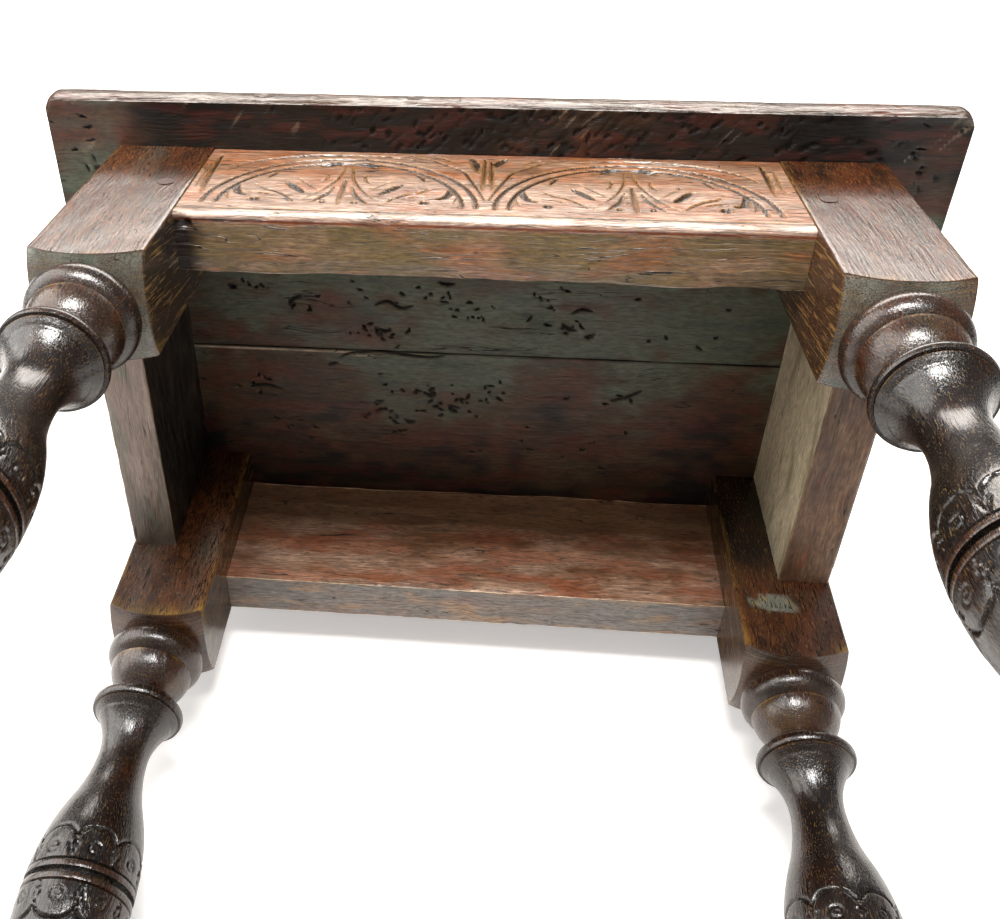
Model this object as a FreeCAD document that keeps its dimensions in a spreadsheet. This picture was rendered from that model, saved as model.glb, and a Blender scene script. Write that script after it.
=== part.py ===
import FreeCAD, Part
import math
import os

# A joint stool of riven oak: four turned legs raked outwards front and back, four rails under a
# two-board top, a box stretcher near the floor, every joint a tenon held by wooden pegs.
# +Z is up, the carved front faces -Y, and the origin is on the floor under the middle of the top.
SIZES = [
    # The top: two boards butted edge to edge
    ("top_length", 460.0),
    ("top_depth", 300.0),
    ("top_thickness", 21.0),
    ("front_board_depth", 145.0),
    ("top_upper_round", 9.0),
    ("top_lower_round", 2.0),
    ("top_corner_round", 6.0),
    ("top_end_overhang", 36.5),
    ("top_face_overhang", 24.5),
    # The frame, measured where the legs' outer faces meet the top
    ("stand_height", 538.0),
    ("frame_width", "=top_length - 2 * top_end_overhang"),
    ("frame_depth", "=top_depth - 2 * top_face_overhang"),
    ("rake_degrees", 2.83),
    # One leg, from the top down to the middle of its turning
    ("leg_side", 51.5),
    ("upper_block", 126.5),
    ("lower_block", 72.0),
    ("shoulder_drop", 8.0),
    ("shoulder_bow", 1.2),
    ("quirk_radius", 20.6),
    ("quirk_height", 0.6),
    ("bead_root_radius", 21.0),
    ("bead_height", 14.2),
    ("bead_bow", 4.3),
    ("cup_radius", 21.5),
    ("cup_fillet_height", 0.7),
    ("cup_height", 17.5),
    ("cup_bow", 1.7),
    ("neck_radius", 13.3),
    ("neck_height", 1.5),
    ("collar_rise", 6.6),
    ("collar_rise_bow", 0.8),
    ("collar_radius", 22.9),
    ("collar_height", 4.4),
    ("collar_bow", 0.6),
    ("collar_step", 1.3),
    ("collar_step_height", 0.6),
    ("trumpet_height", 27.4),
    ("trumpet_bow", 2.9),
    ("waist_radius", 12.4),
    ("swell_foot_height", 24.5),
    ("swell_foot_radius", 17.8),
    ("swell_foot_bow", 1.0),
    ("swell_height", 37.7),
    ("swell_radius", 25.2),
    ("swell_bow", 1.7),
    ("line_width", 1.2),
    ("line_depth", 1.1),
    ("ridge_height", 2.8),
    ("channel_width", 2.8),
    ("channel_depth", 2.4),
    ("foot_top_radius", 19.5),
    ("foot_radius", 17.0),
    ("foot_bow", 3.6),
    # Rails under the top
    ("rail_set_back", 0.8),
    ("front_rail_height", 84.0),
    ("front_rail_thickness", 30.5),
    ("back_rail_height", 81.5),
    ("back_rail_thickness", 27.5),
    ("side_rail_height", 84.0),
    ("left_side_rail_thickness", 24.5),
    ("right_side_rail_thickness", 26.5),
    ("rail_bead_round", 2.8),
    ("rail_quirk_above", 6.0),
    ("rail_quirk_width", 1.6),
    ("rail_quirk_depth", 1.3),
    ("rail_tenon_face", 11.5),
    ("rail_tenon_thickness", 10.0),
    ("rail_tenon_drop", 12.0),
    ("rail_tenon_height", 64.0),
    ("front_rail_tenon_length", 28.0),
    ("side_rail_tenon_length", 36.0),
    # Stretchers between the lower blocks
    ("stretcher_height", 40.0),
    ("stretcher_thickness", 24.0),
    ("stretcher_set_back", 5.0),
    ("stretcher_margin", 16.0),
    ("stretcher_tenon_face", 12.0),
    ("stretcher_tenon_thickness", 9.0),
    ("stretcher_tenon_drop", 5.0),
    ("stretcher_tenon_height", 30.0),
    ("front_stretcher_tenon_length", 27.0),
    ("side_stretcher_tenon_length", 34.0),
    # Pegs, and the fits of joints and peg holes
    ("peg_radius", 3.8),
    ("peg_inset", 12.0),
    ("rail_peg_drop", 50.0),
    ("front_peg_length", 42.0),
    ("side_peg_length", 29.0),
    ("peg_proud", 0.4),
    ("peg_tip_length", 6.0),
    ("peg_tip_radius", 2.6),
    ("top_peg_radius", 4.5),
    ("top_peg_inset", 36.0),
    ("top_peg_bite", 28.0),
    ("mortise_gap", 0.2),
    ("peg_gap", 0.1),
    ("overrun", 5.0),
]

doc = FreeCAD.newDocument("joint_stool")
sheet = doc.addObject("Spreadsheet::Sheet", "sizes")
for row, (alias, value) in enumerate(SIZES, start=1):
    sheet.set(f"A{row}", alias)
    sheet.set(f"B{row}", str(value))
    sheet.setAlias(f"B{row}", alias)
doc.recompute()
size = {alias: float(sheet.get(alias)) for alias, value in SIZES}

LEG = size["leg_side"]
GAP = size["mortise_gap"]
OVER = size["overrun"]
RAKE = math.radians(size["rake_degrees"])
RISE = math.tan(RAKE)
HALF_TURN = 180
QUARTER_TURN = 90
# How far a quarter circle of radius one stands out from its own chord
QUARTER_BOW_SHARE = 1 - math.cos(math.pi / 4)


# Places of the front and back frames, the legs and the pegs


def vector(x, y, z):
    return FreeCAD.Vector(x, y, z)


def moved(x, y, z):
    return FreeCAD.Placement(vector(x, y, z), FreeCAD.Rotation())


def frame_place(behind):
    """The plane of the front or back frame's outer faces, leaning out with its legs."""
    lean = FreeCAD.Rotation(vector(1, 0, 0), -size["rake_degrees"])
    turn = FreeCAD.Rotation(vector(0, 0, 1), HALF_TURN if behind else 0)
    depth = size["frame_depth"] / 2 * (1 if behind else -1)
    return FreeCAD.Placement(vector(0, depth, size["stand_height"]), turn.multiply(lean))


def leg_place(side, behind):
    """A leg's own axes: z along the leg, the level of its outer top edge at zero."""
    offset = side * (size["frame_width"] - LEG) / 2
    return frame_place(behind).multiply(moved(offset, LEG / 2, 0))


def front_peg_place(side, behind, drop):
    """A peg that enters the front face of a leg, at right angles to it."""
    start = vector(-side * (LEG / 2 - size["peg_inset"]), -LEG / 2 - size["peg_proud"], -drop)
    inwards = FreeCAD.Rotation(vector(1, 0, 0), -QUARTER_TURN)
    return leg_place(side, behind).multiply(FreeCAD.Placement(start, inwards))


def side_peg_place(side, behind, drop):
    """A peg that enters the side face of a leg."""
    start = vector(side * (LEG / 2 + size["peg_proud"]), LEG / 2 - size["peg_inset"], -drop)
    inwards = FreeCAD.Rotation(vector(0, 1, 0), -side * QUARTER_TURN)
    return leg_place(side, behind).multiply(FreeCAD.Placement(start, inwards))


def top_peg_place(side, behind):
    """A peg that stands upright, its end level with the top's upper face."""
    inset = size["top_peg_inset"]
    x = side * (size["frame_width"] / 2 - inset)
    y = (size["frame_depth"] / 2 - inset) * (1 if behind else -1)
    upside_down = FreeCAD.Rotation(vector(1, 0, 0), HALF_TURN)
    return FreeCAD.Placement(vector(x, y, size["stand_height"] + size["top_thickness"]), upside_down)


# Bodies and their features


def new_body(name, place):
    body = doc.addObject("PartDesign::Body", name)
    body.Label = name
    body.Placement = place
    return body


def sketch_on(body, role, name):
    plane = next(item for item in body.Origin.OriginFeatures if item.Role == role)
    sketch = body.newObject("Sketcher::SketchObject", name)
    sketch.AttachmentSupport = [(plane, "")]
    sketch.MapMode = "FlatFace"
    return sketch


def draw(sketch, points):
    """A closed outline. A point's third value is how far the run that leads to it bows to its left."""
    count = len(points)
    for index in range(count):
        start = points[index - 1]
        end = points[index]
        a = vector(start[0], start[1], 0)
        b = vector(end[0], end[1], 0)
        if len(end) == 3:
            along = b.sub(a).normalize()
            left = vector(-along.y, along.x, 0)
            middle = (a + b) * 0.5 + left * end[2]
            sketch.addGeometry(Part.Arc(a, middle, b), False)
        else:
            sketch.addGeometry(Part.LineSegment(a, b), False)


def pad(body, sketch, length, both_ways):
    feature = body.newObject("PartDesign::Pad", sketch.Name + "_pad")
    feature.Profile = sketch
    feature.setExpression("Length", length)
    feature.Midplane = both_ways


def cut_through(body, sketch):
    """Cuts the sketch's outline through the whole body, both ways, and makes sure that it cut."""
    before = body.Tip
    doc.recompute()
    volume = before.Shape.Volume
    feature = body.newObject("PartDesign::Pocket", sketch.Name + "_cut")
    feature.Profile = sketch
    feature.Type = "ThroughAll"
    feature.Midplane = True
    doc.recompute()
    if not feature.Shape.Volume < volume:
        raise RuntimeError(feature.Name + " cuts nothing")


def box(body, kind, name, place, length, width, height):
    feature = body.newObject("PartDesign::" + kind + "Box", name)
    feature.setExpression("Length", length)
    feature.setExpression("Width", width)
    feature.setExpression("Height", height)
    feature.Placement = place


def peg_hole(body, name, place, radius, length):
    """A round hole along a peg's axis, wider than the peg by the peg's fit and open at its head."""
    feature = body.newObject("PartDesign::SubtractiveCylinder", name)
    feature.setExpression("Radius", radius + " + sizes.peg_gap")
    feature.setExpression("Height", length + " + 2 * sizes.peg_proud")
    feature.Placement = body.Placement.inverse().multiply(place)


# The turning, as depths below the leg's top edge and radii from its axis


def half_turning():
    """Runs from the upper block's shoulder to the middle of the channel: (radius, depth, bow)."""
    steps = [
        ("quirk_radius", "shoulder_drop", "shoulder_bow"),
        ("bead_root_radius", "quirk_height", None),
        ("bead_root_radius", "bead_height", "bead_bow"),
        ("cup_radius", "cup_fillet_height", None),
        ("neck_radius", "cup_height", "cup_bow"),
        ("neck_radius", "neck_height", None),
        ("collar_radius", "collar_rise", "collar_rise_bow"),
        ("collar_radius", "collar_height", "collar_bow"),
    ]
    depth = size["upper_block"]
    runs = [(LEG / math.sqrt(2), depth, None)]
    for radius, height, bow in steps:
        depth += size[height]
        runs.append((size[radius], depth, size[bow] if bow else None))
    step_radius = size["collar_radius"] - size["collar_step"]
    runs.append((step_radius, depth, None))
    depth += size["collar_step_height"]
    runs.append((step_radius, depth, None))
    depth += size["trumpet_height"]
    runs.append((size["waist_radius"], depth, -size["trumpet_bow"]))
    depth += size["swell_foot_height"]
    runs.append((size["swell_foot_radius"], depth, -size["swell_foot_bow"]))
    depth += size["swell_height"]
    runs.append((size["swell_radius"], depth, size["swell_bow"]))
    runs.append((size["swell_radius"] - size["line_depth"], depth + size["line_width"] / 2, None))
    depth += size["line_width"]
    runs.append((size["swell_radius"], depth, None))
    depth += size["ridge_height"]
    runs.append((size["swell_radius"], depth, None))
    runs.append((size["swell_radius"] - size["channel_depth"], depth, None))
    depth += size["channel_width"] / 2
    runs.append((size["swell_radius"] - size["channel_depth"], depth, None))
    return runs


UPPER_RUNS = half_turning()
TURNING_MIDDLE = UPPER_RUNS[-1][1]
LOWER_BLOCK_TOP = 2 * TURNING_MIDDLE - size["upper_block"]
LOWER_BLOCK_END = LOWER_BLOCK_TOP + size["lower_block"]
STRETCHER_TOP = LOWER_BLOCK_TOP + size["stretcher_margin"]
STRETCHER_PEG_DROP = STRETCHER_TOP + size["stretcher_height"] / 2
LEG_LENGTH = size["stand_height"] / math.cos(RAKE)


def turning_outline():
    """What the lathe takes away between the two blocks, the lower half a mirror of the upper."""
    reach = LEG / math.sqrt(2) + OVER
    points = [(reach, -UPPER_RUNS[0][1])]
    for radius, depth, bow in UPPER_RUNS:
        points.append((radius, -depth) if bow is None else (radius, -depth, bow))
    for index in range(len(UPPER_RUNS) - 2, -1, -1):
        radius, depth, bow = UPPER_RUNS[index]
        following = UPPER_RUNS[index + 1][2]
        mirrored = depth - 2 * TURNING_MIDDLE
        points.append((radius, mirrored) if following is None else (radius, mirrored, following))
    points.append((reach, -LOWER_BLOCK_TOP))
    return points


def foot_outline():
    """What the lathe takes away below the lower block, leaving a shoulder and a bun."""
    corner = LEG / math.sqrt(2)
    reach = corner + OVER
    shoulder_end = LOWER_BLOCK_END + size["shoulder_drop"]
    quirk_end = shoulder_end + size["quirk_height"]
    return [
        (reach, -LOWER_BLOCK_END),
        (corner, -LOWER_BLOCK_END),
        (size["quirk_radius"], -shoulder_end, size["shoulder_bow"]),
        (size["foot_top_radius"], -quirk_end),
        (size["foot_radius"], -LEG_LENGTH, size["foot_bow"]),
        (size["foot_radius"], -LEG_LENGTH - OVER),
        (reach, -LEG_LENGTH - OVER),
    ]


# Shares of a bar's place that legs and bars both read


def rail_tenon(length):
    return {
        "face": "rail_tenon_face", "thickness": "rail_tenon_thickness", "height": "rail_tenon_height",
        "length": length, "top": size["rail_tenon_drop"],
    }


def stretcher_tenon(length):
    return {
        "face": "stretcher_tenon_face", "thickness": "stretcher_tenon_thickness",
        "height": "stretcher_tenon_height", "length": length,
        "top": STRETCHER_TOP + size["stretcher_tenon_drop"],
    }


def side_shoulder(depth_below_top):
    """Half the length of a side bar at a level: the legs' inner faces lean apart as they go down."""
    return size["frame_depth"] / 2 - LEG / math.cos(RAKE) + RISE * depth_below_top


def side_tenon_end(tenon):
    return side_shoulder(tenon["top"] * math.cos(RAKE)) + size[tenon["length"]]


# Legs


def front_mortise(leg, name, side, tenon):
    """The mortise for a front or back bar, in the leg's inner side face."""
    depth = size[tenon["length"]] + GAP
    low_x = LEG / 2 - depth if side < 0 else -LEG / 2 - OVER
    low_y = -LEG / 2 + size[tenon["face"]] - GAP
    low_z = -tenon["top"] - size[tenon["height"]] - GAP
    box(leg, "Subtractive", name, moved(low_x, low_y, low_z),
        "sizes." + tenon["length"] + " + sizes.mortise_gap + sizes.overrun",
        "sizes." + tenon["thickness"] + " + 2 * sizes.mortise_gap",
        "sizes." + tenon["height"] + " + 2 * sizes.mortise_gap")


def side_mortise(leg, name, side, behind, tenon):
    """The mortise for a side bar, level although the leg leans, in the leg's inner cross face."""
    depth = size[tenon["length"]] + GAP + OVER
    outer = size["frame_width"] / 2 - size[tenon["face"]] + GAP
    low_x = -outer if side < 0 else outer - size[tenon["thickness"]] - 2 * GAP
    far_y = side_tenon_end(tenon) + GAP
    low_y = far_y - depth if behind else -far_y
    level = size["stand_height"] - tenon["top"] * math.cos(RAKE)
    corner = moved(low_x, low_y, level - size[tenon["height"]] - GAP)
    box(leg, "Subtractive", name, leg.Placement.inverse().multiply(corner),
        "sizes." + tenon["thickness"] + " + 2 * sizes.mortise_gap",
        "sizes." + tenon["length"] + " + sizes.mortise_gap + sizes.overrun",
        "sizes." + tenon["height"] + " + 2 * sizes.mortise_gap")


def make_leg(name, side, behind):
    """A square oak bar cut level at both ends, turned between its blocks, then mortised and bored."""
    leg = new_body(name, leg_place(side if not behind else -side, behind))
    bar = sketch_on(leg, "YZ_Plane", name + "_bar")
    draw(bar, [
        (-LEG / 2, 0),
        (LEG / 2, LEG * RISE),
        (LEG / 2, LEG * RISE - LEG_LENGTH),
        (-LEG / 2, -LEG_LENGTH),
    ])
    pad(leg, bar, "sizes.leg_side", True)
    doc.recompute()
    volume = leg.Tip.Shape.Volume
    turning = sketch_on(leg, "XZ_Plane", name + "_turning")
    draw(turning, turning_outline())
    draw(turning, foot_outline())
    groove = leg.newObject("PartDesign::Groove", name + "_lathe")
    groove.Profile = turning
    groove.ReferenceAxis = (turning, ["V_Axis"])
    doc.recompute()
    if not groove.Shape.Volume < volume:
        raise RuntimeError(name + ": the lathe cuts nothing")
    local_side = side if not behind else -side
    front_mortise(leg, name + "_rail_mortise", local_side, rail_tenon("front_rail_tenon_length"))
    front_mortise(leg, name + "_stretcher_mortise", local_side,
                  stretcher_tenon("front_stretcher_tenon_length"))
    side_mortise(leg, name + "_side_rail_mortise", side, behind, rail_tenon("side_rail_tenon_length"))
    side_mortise(leg, name + "_side_stretcher_mortise", side, behind,
                 stretcher_tenon("side_stretcher_tenon_length"))
    for level, drop in (("rail", size["rail_peg_drop"]), ("stretcher", STRETCHER_PEG_DROP)):
        peg_hole(leg, name + "_" + level + "_peg_hole", front_peg_place(local_side, behind, drop),
                 "sizes.peg_radius", "sizes.front_peg_length")
        peg_hole(leg, name + "_side_" + level + "_peg_hole", side_peg_place(local_side, behind, drop),
                 "sizes.peg_radius", "sizes.side_peg_length")
    peg_hole(leg, name + "_top_peg_hole", top_peg_place(side, behind),
             "sizes.top_peg_radius", "sizes.top_thickness + sizes.top_peg_bite")
    return leg


# Rails and stretchers


def moulded_face(height, thickness, slope):
    """Section of a rail, face at zero: a quirk cut above a rounded bead on the lower edge."""
    quirk = -height + size["rail_quirk_above"]
    half = size["rail_quirk_width"] / 2
    round_off = size["rail_bead_round"]
    return [
        (0, size["rail_set_back"] * slope),
        (0, quirk + half),
        (size["rail_quirk_depth"], quirk),
        (0, quirk - half),
        (0, -height + round_off),
        (round_off, -height, -round_off * QUARTER_BOW_SHARE),
        (thickness, -height),
        (thickness, (size["rail_set_back"] + thickness) * slope),
    ]


def make_front_bar(name, behind, set_back, section, tenon, drop):
    """A bar between two legs of the front or back frame, with a tenon at each end."""
    place = frame_place(behind).multiply(moved(0, size[set_back], 0))
    bar = new_body(name, place)
    sketch = sketch_on(bar, "YZ_Plane", name + "_section")
    draw(sketch, section)
    pad(bar, sketch, "sizes.frame_width - 2 * sizes.leg_side", True)
    reach = size["frame_width"] / 2 - LEG + size[tenon["length"]]
    low = moved(-reach, size[tenon["face"]] - size[set_back], -tenon["top"] - size[tenon["height"]])
    box(bar, "Additive", name + "_tenons", low,
        "sizes.frame_width - 2 * sizes.leg_side + 2 * sizes." + tenon["length"],
        "sizes." + tenon["thickness"], "sizes." + tenon["height"])
    for side in (-1, 1):
        peg_hole(bar, name + "_peg_hole_" + str(side + 1), front_peg_place(side, behind, drop),
                 "sizes.peg_radius", "sizes.front_peg_length")
    return bar


def make_side_bar(name, side, set_back, top, height, thickness, tenon, drop, moulded):
    """A bar between a front and a back leg: its shoulders slope because the legs lean."""
    turn = FreeCAD.Rotation(vector(0, 0, 1), HALF_TURN if side > 0 else 0)
    face = side * (size["frame_width"] / 2 - size[set_back])
    bar = new_body(name, FreeCAD.Placement(vector(face, 0, size["stand_height"]), turn))
    upper = side_shoulder(top)
    lower = side_shoulder(top + size[height])
    sketch = sketch_on(bar, "YZ_Plane", name + "_elevation")
    draw(sketch, [(-upper, -top), (upper, -top), (lower, -top - size[height]), (-lower, -top - size[height])])
    pad(bar, sketch, "sizes." + thickness, False)
    if moulded:
        quirk = -top - size[height] + size["rail_quirk_above"]
        half = size["rail_quirk_width"] / 2
        round_off = size["rail_bead_round"]
        bottom = -top - size[height]
        moulding = sketch_on(bar, "XZ_Plane", name + "_moulding")
        draw(moulding, [(-OVER, quirk + half), (0, quirk + half), (size["rail_quirk_depth"], quirk),
                        (0, quirk - half), (-OVER, quirk - half)])
        draw(moulding, [(-OVER, bottom + round_off), (0, bottom + round_off),
                        (round_off, bottom, -round_off * QUARTER_BOW_SHARE),
                        (round_off, bottom - OVER), (-OVER, bottom - OVER)])
        cut_through(bar, moulding)
    end = side_tenon_end(tenon)
    level = -tenon["top"] * math.cos(RAKE) - size[tenon["height"]]
    low = moved(size[tenon["face"]] - size[set_back], -end, level)
    box(bar, "Additive", name + "_tenons", low,
        "sizes." + tenon["thickness"], str(2 * end) + " mm", "sizes." + tenon["height"])
    for behind in (False, True):
        local_side = side if not behind else -side
        peg_hole(bar, name + "_peg_hole_" + str(int(behind)), side_peg_place(local_side, behind, drop),
                 "sizes.peg_radius", "sizes.side_peg_length")
    return bar


def plain_section(top, height, thickness):
    return [(0, -top), (0, -top - height), (thickness, -top - height), (thickness, -top)]


# The top's two boards


def make_board(name, outer, inner):
    """One board from its outer long edge to the butt joint, its three free edges rounded over."""
    board = new_body(name, moved(0, 0, size["stand_height"]))
    half = size["top_length"] / 2
    away = 1 if outer > inner else -1
    corner = size["top_corner_round"]
    bow = corner * QUARTER_BOW_SHARE * away
    plan = sketch_on(board, "XY_Plane", name + "_plan")
    draw(plan, [
        (-half, inner),
        (-half, outer - away * corner),
        (-half + corner, outer, bow),
        (half - corner, outer),
        (half, outer - away * corner, bow),
        (half, inner),
    ])
    pad(board, plan, "sizes.top_thickness", False)
    long_edge = sketch_on(board, "YZ_Plane", name + "_long_edge")
    for points in edge_rounds(outer, away):
        draw(long_edge, points)
    cut_through(board, long_edge)
    ends = sketch_on(board, "XZ_Plane", name + "_ends")
    for end in (-1, 1):
        for points in edge_rounds(end * half, end):
            draw(ends, points)
    cut_through(board, ends)
    for side in (-1, 1):
        peg_hole(board, name + "_peg_hole_" + str(side + 1), top_peg_place(side, away > 0),
                 "sizes.top_peg_radius", "sizes.top_thickness + sizes.top_peg_bite")
    return board


def edge_rounds(edge, away):
    """What the plane takes off an edge: a large round above and a small one below."""
    upper = size["top_upper_round"]
    lower = size["top_lower_round"]
    thick = size["top_thickness"]
    outside = edge + away * OVER
    return [
        [(outside, thick - upper), (edge, thick - upper),
         (edge - away * upper, thick, -away * upper * QUARTER_BOW_SHARE),
         (edge - away * upper, thick + OVER), (outside, thick + OVER)],
        [(outside, lower), (edge, lower), (edge - away * lower, 0, away * lower * QUARTER_BOW_SHARE),
         (edge - away * lower, -OVER), (outside, -OVER)],
    ]


# Pegs


def make_pegs(name, places, radius, length):
    """Round pegs with a tapered point, one solid in each hole, kept as one group."""
    pegs = []
    for number, place in enumerate(places):
        stem = doc.addObject("Part::Cylinder", f"{name}_{number}_stem")
        stem.setExpression("Radius", radius)
        stem.setExpression("Height", length + " - sizes.peg_tip_length")
        tip = doc.addObject("Part::Cone", f"{name}_{number}_tip")
        tip.setExpression("Radius1", radius)
        tip.setExpression("Radius2", "sizes.peg_tip_radius")
        tip.setExpression("Height", "sizes.peg_tip_length")
        tip.setExpression(".Placement.Base.z", length + " - sizes.peg_tip_length")
        peg = doc.addObject("Part::Fuse", f"{name}_{number}")
        peg.Base = stem
        peg.Tool = tip
        peg.Placement = place
        pegs.append(peg)
    group = doc.addObject("Part::Compound", name)
    group.Label = name
    group.Links = pegs
    return group


pieces = [
    make_board("top_front_board", -size["top_depth"] / 2, -size["top_depth"] / 2 + size["front_board_depth"]),
    make_board("top_back_board", size["top_depth"] / 2, -size["top_depth"] / 2 + size["front_board_depth"]),
]
for side, side_name in ((-1, "left"), (1, "right")):
    pieces.append(make_leg("leg_front_" + side_name, side, False))
    pieces.append(make_leg("leg_back_" + side_name, side, True))

for place, behind in (("front", False), ("back", True)):
    pieces.append(make_front_bar(
        place + "_rail", behind, "rail_set_back",
        moulded_face(size[place + "_rail_height"], size[place + "_rail_thickness"], RISE),
        rail_tenon("front_rail_tenon_length"), size["rail_peg_drop"]))
    pieces.append(make_front_bar(
        place + "_stretcher", behind, "stretcher_set_back",
        plain_section(STRETCHER_TOP, size["stretcher_height"], size["stretcher_thickness"]),
        stretcher_tenon("front_stretcher_tenon_length"), STRETCHER_PEG_DROP))
    for level, drop in (("rail", size["rail_peg_drop"]), ("stretcher", STRETCHER_PEG_DROP)):
        places = [front_peg_place(side, behind, drop) for side in (-1, 1)]
        pieces.append(make_pegs(f"{place}_{level}_pegs", places, "sizes.peg_radius", "sizes.front_peg_length"))

for side, side_name in ((-1, "left"), (1, "right")):
    pieces.append(make_side_bar(
        side_name + "_side_rail", side, "rail_set_back", 0, "side_rail_height",
        side_name + "_side_rail_thickness", rail_tenon("side_rail_tenon_length"),
        size["rail_peg_drop"], True))
    pieces.append(make_side_bar(
        side_name + "_side_stretcher", side, "stretcher_set_back", STRETCHER_TOP * math.cos(RAKE),
        "stretcher_height", "stretcher_thickness", stretcher_tenon("side_stretcher_tenon_length"),
        STRETCHER_PEG_DROP, False))
    for level, drop in (("rail", size["rail_peg_drop"]), ("stretcher", STRETCHER_PEG_DROP)):
        places = [side_peg_place(side, False, drop), side_peg_place(-side, True, drop)]
        pieces.append(make_pegs(
            f"{side_name}_side_{level}_pegs", places, "sizes.peg_radius", "sizes.side_peg_length"))

top_places = [top_peg_place(side, behind) for side in (-1, 1) for behind in (False, True)]
pieces.append(make_pegs("top_pegs", top_places, "sizes.top_peg_radius",
                        "sizes.top_thickness + sizes.top_peg_bite"))

doc.recompute()
for item in doc.Objects:
    if "Invalid" in item.State or "Error" in item.State:
        raise RuntimeError(f"{item.Name} failed: {item.State}")

os.makedirs("parts", exist_ok=True)
for piece in pieces:
    shape = piece.Shape
    if shape.isNull() or not shape.isValid():
        raise RuntimeError(piece.Label + " has no valid shape")
    shape.exportStep(f"parts/{piece.Label}.step")
    print(piece.Label, len(shape.Solids), "solids", round(shape.Volume), "mm3")
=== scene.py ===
# The looks of an old joint stool: four turned legs, four rails under a boarded top, a box stretcher
# and the pegs that hold them, all in dark waxed oak. Metres, +Z up, the carved front towards -Y.
import math

import bmesh
import bpy
import numpy as np
from mathutils import Matrix, Vector


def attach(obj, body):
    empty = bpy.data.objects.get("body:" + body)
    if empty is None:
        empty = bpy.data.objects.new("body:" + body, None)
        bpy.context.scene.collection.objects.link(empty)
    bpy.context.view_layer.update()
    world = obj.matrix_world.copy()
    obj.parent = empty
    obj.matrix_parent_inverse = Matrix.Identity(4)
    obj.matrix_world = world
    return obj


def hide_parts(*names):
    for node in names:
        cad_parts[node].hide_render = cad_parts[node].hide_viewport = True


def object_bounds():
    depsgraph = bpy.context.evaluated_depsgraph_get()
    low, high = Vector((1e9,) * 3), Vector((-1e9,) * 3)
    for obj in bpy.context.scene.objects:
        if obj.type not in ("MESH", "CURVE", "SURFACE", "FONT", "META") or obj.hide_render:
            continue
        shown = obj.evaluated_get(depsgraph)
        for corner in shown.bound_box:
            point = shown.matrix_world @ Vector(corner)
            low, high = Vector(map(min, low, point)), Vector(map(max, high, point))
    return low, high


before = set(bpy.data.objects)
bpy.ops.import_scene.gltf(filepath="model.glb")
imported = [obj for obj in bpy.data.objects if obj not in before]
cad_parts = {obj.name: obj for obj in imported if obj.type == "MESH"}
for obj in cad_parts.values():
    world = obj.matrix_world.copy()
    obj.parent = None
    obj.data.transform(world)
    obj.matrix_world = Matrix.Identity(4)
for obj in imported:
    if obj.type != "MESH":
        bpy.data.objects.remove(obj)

cad_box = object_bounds()
bpy.context.scene.view_settings.view_transform = "Standard"

# The studio: a pale floor, and a white sheet that stands straight behind the stool and takes its
# soft shadow. The sheet has one side only, so that it hides nothing when it is seen from behind.
FLOOR_FRONT = 1.7
FLOOR_WIDTH = 3.0
SHEET_GAP = 0.003
SHEET_WIDTH = 2.4
SHEET_HEIGHT = 4.0
WHITE_PAPER = "#F1EEEC"
PAPER_GLOW = 0.42
PALE_FLOOR = "#93918E"
WORLD_LOW = 0.04
WORLD_HIGH = 0.22


def linear(hex_colour):
    """An sRGB hex colour as the linear RGBA that a shader's socket takes."""
    values = [int(hex_colour[i:i + 2], 16) / 255 for i in (1, 3, 5)]
    return [v / 12.92 if v <= 0.04045 else ((v + 0.055) / 1.055) ** 2.4 for v in values] + [1.0]


def add(tree, kind, sockets=None, **settings):
    """Adds a node with its settings. Each of its sockets gets a value, another node's output, or
    another node, whose first output it then takes."""
    node = tree.nodes.new("ShaderNode" + kind)
    for name, value in settings.items():
        setattr(node, name, value)
    for name, value in (sockets or {}).items():
        if isinstance(value, bpy.types.Node):
            value = value.outputs[0]
        if isinstance(value, bpy.types.NodeSocket):
            tree.links.new(value, node.inputs[name])
        else:
            node.inputs[name].default_value = value
    return node


def new_material(name):
    """A material with an empty node tree."""
    material = bpy.data.materials.new(name)
    material.use_nodes = True
    material.node_tree.nodes.clear()
    return material, material.node_tree


def plane(name, corners, material):
    """A flat part of the studio, which isn't part of the stool."""
    mesh = bpy.data.meshes.new(name)
    mesh.from_pydata(corners, [], [(0, 1, 2, 3)])
    piece = bpy.data.objects.new(name, mesh)
    bpy.context.scene.collection.objects.link(piece)
    mesh.materials.append(material)


def glowing_paper(name, colour):
    """Plain paper that the lamps light, with a glow that only the camera sees."""
    material, tree = new_material(name)
    ray = add(tree, "LightPath")
    lit = add(tree, "BsdfDiffuse", {"Color": linear(colour)})
    glow = add(tree, "Emission", {"Color": linear("#FFFFFF"), "Strength": PAPER_GLOW})
    dark = add(tree, "Emission", {"Color": linear("#000000"), "Strength": 0.0})
    seen = add(tree, "MixShader", {0: ray.outputs["Is Camera Ray"], 1: dark, 2: glow})
    return material, tree, add(tree, "AddShader", {0: lit, 1: seen})


paper, tree, lit_side = glowing_paper("white_paper_sheet", WHITE_PAPER)
clear = add(tree, "BsdfTransparent")
side = add(tree, "NewGeometry")
one_sided = add(tree, "MixShader", {0: side.outputs["Backfacing"], 1: lit_side, 2: clear})
add(tree, "OutputMaterial", {"Surface": one_sided})

floor_paper, tree, lit_side = glowing_paper("pale_floor", PALE_FLOOR)
add(tree, "OutputMaterial", {"Surface": lit_side})

back = cad_box[1][1] + SHEET_GAP
half = FLOOR_WIDTH / 2
plane("floor", [(-half, -FLOOR_FRONT, 0), (half, -FLOOR_FRONT, 0), (half, back, 0), (-half, back, 0)],
      floor_paper)
half = SHEET_WIDTH / 2
plane("sheet", [(-half, back, 0), (half, back, 0), (half, back, SHEET_HEIGHT), (-half, back, SHEET_HEIGHT)],
      paper)

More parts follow.
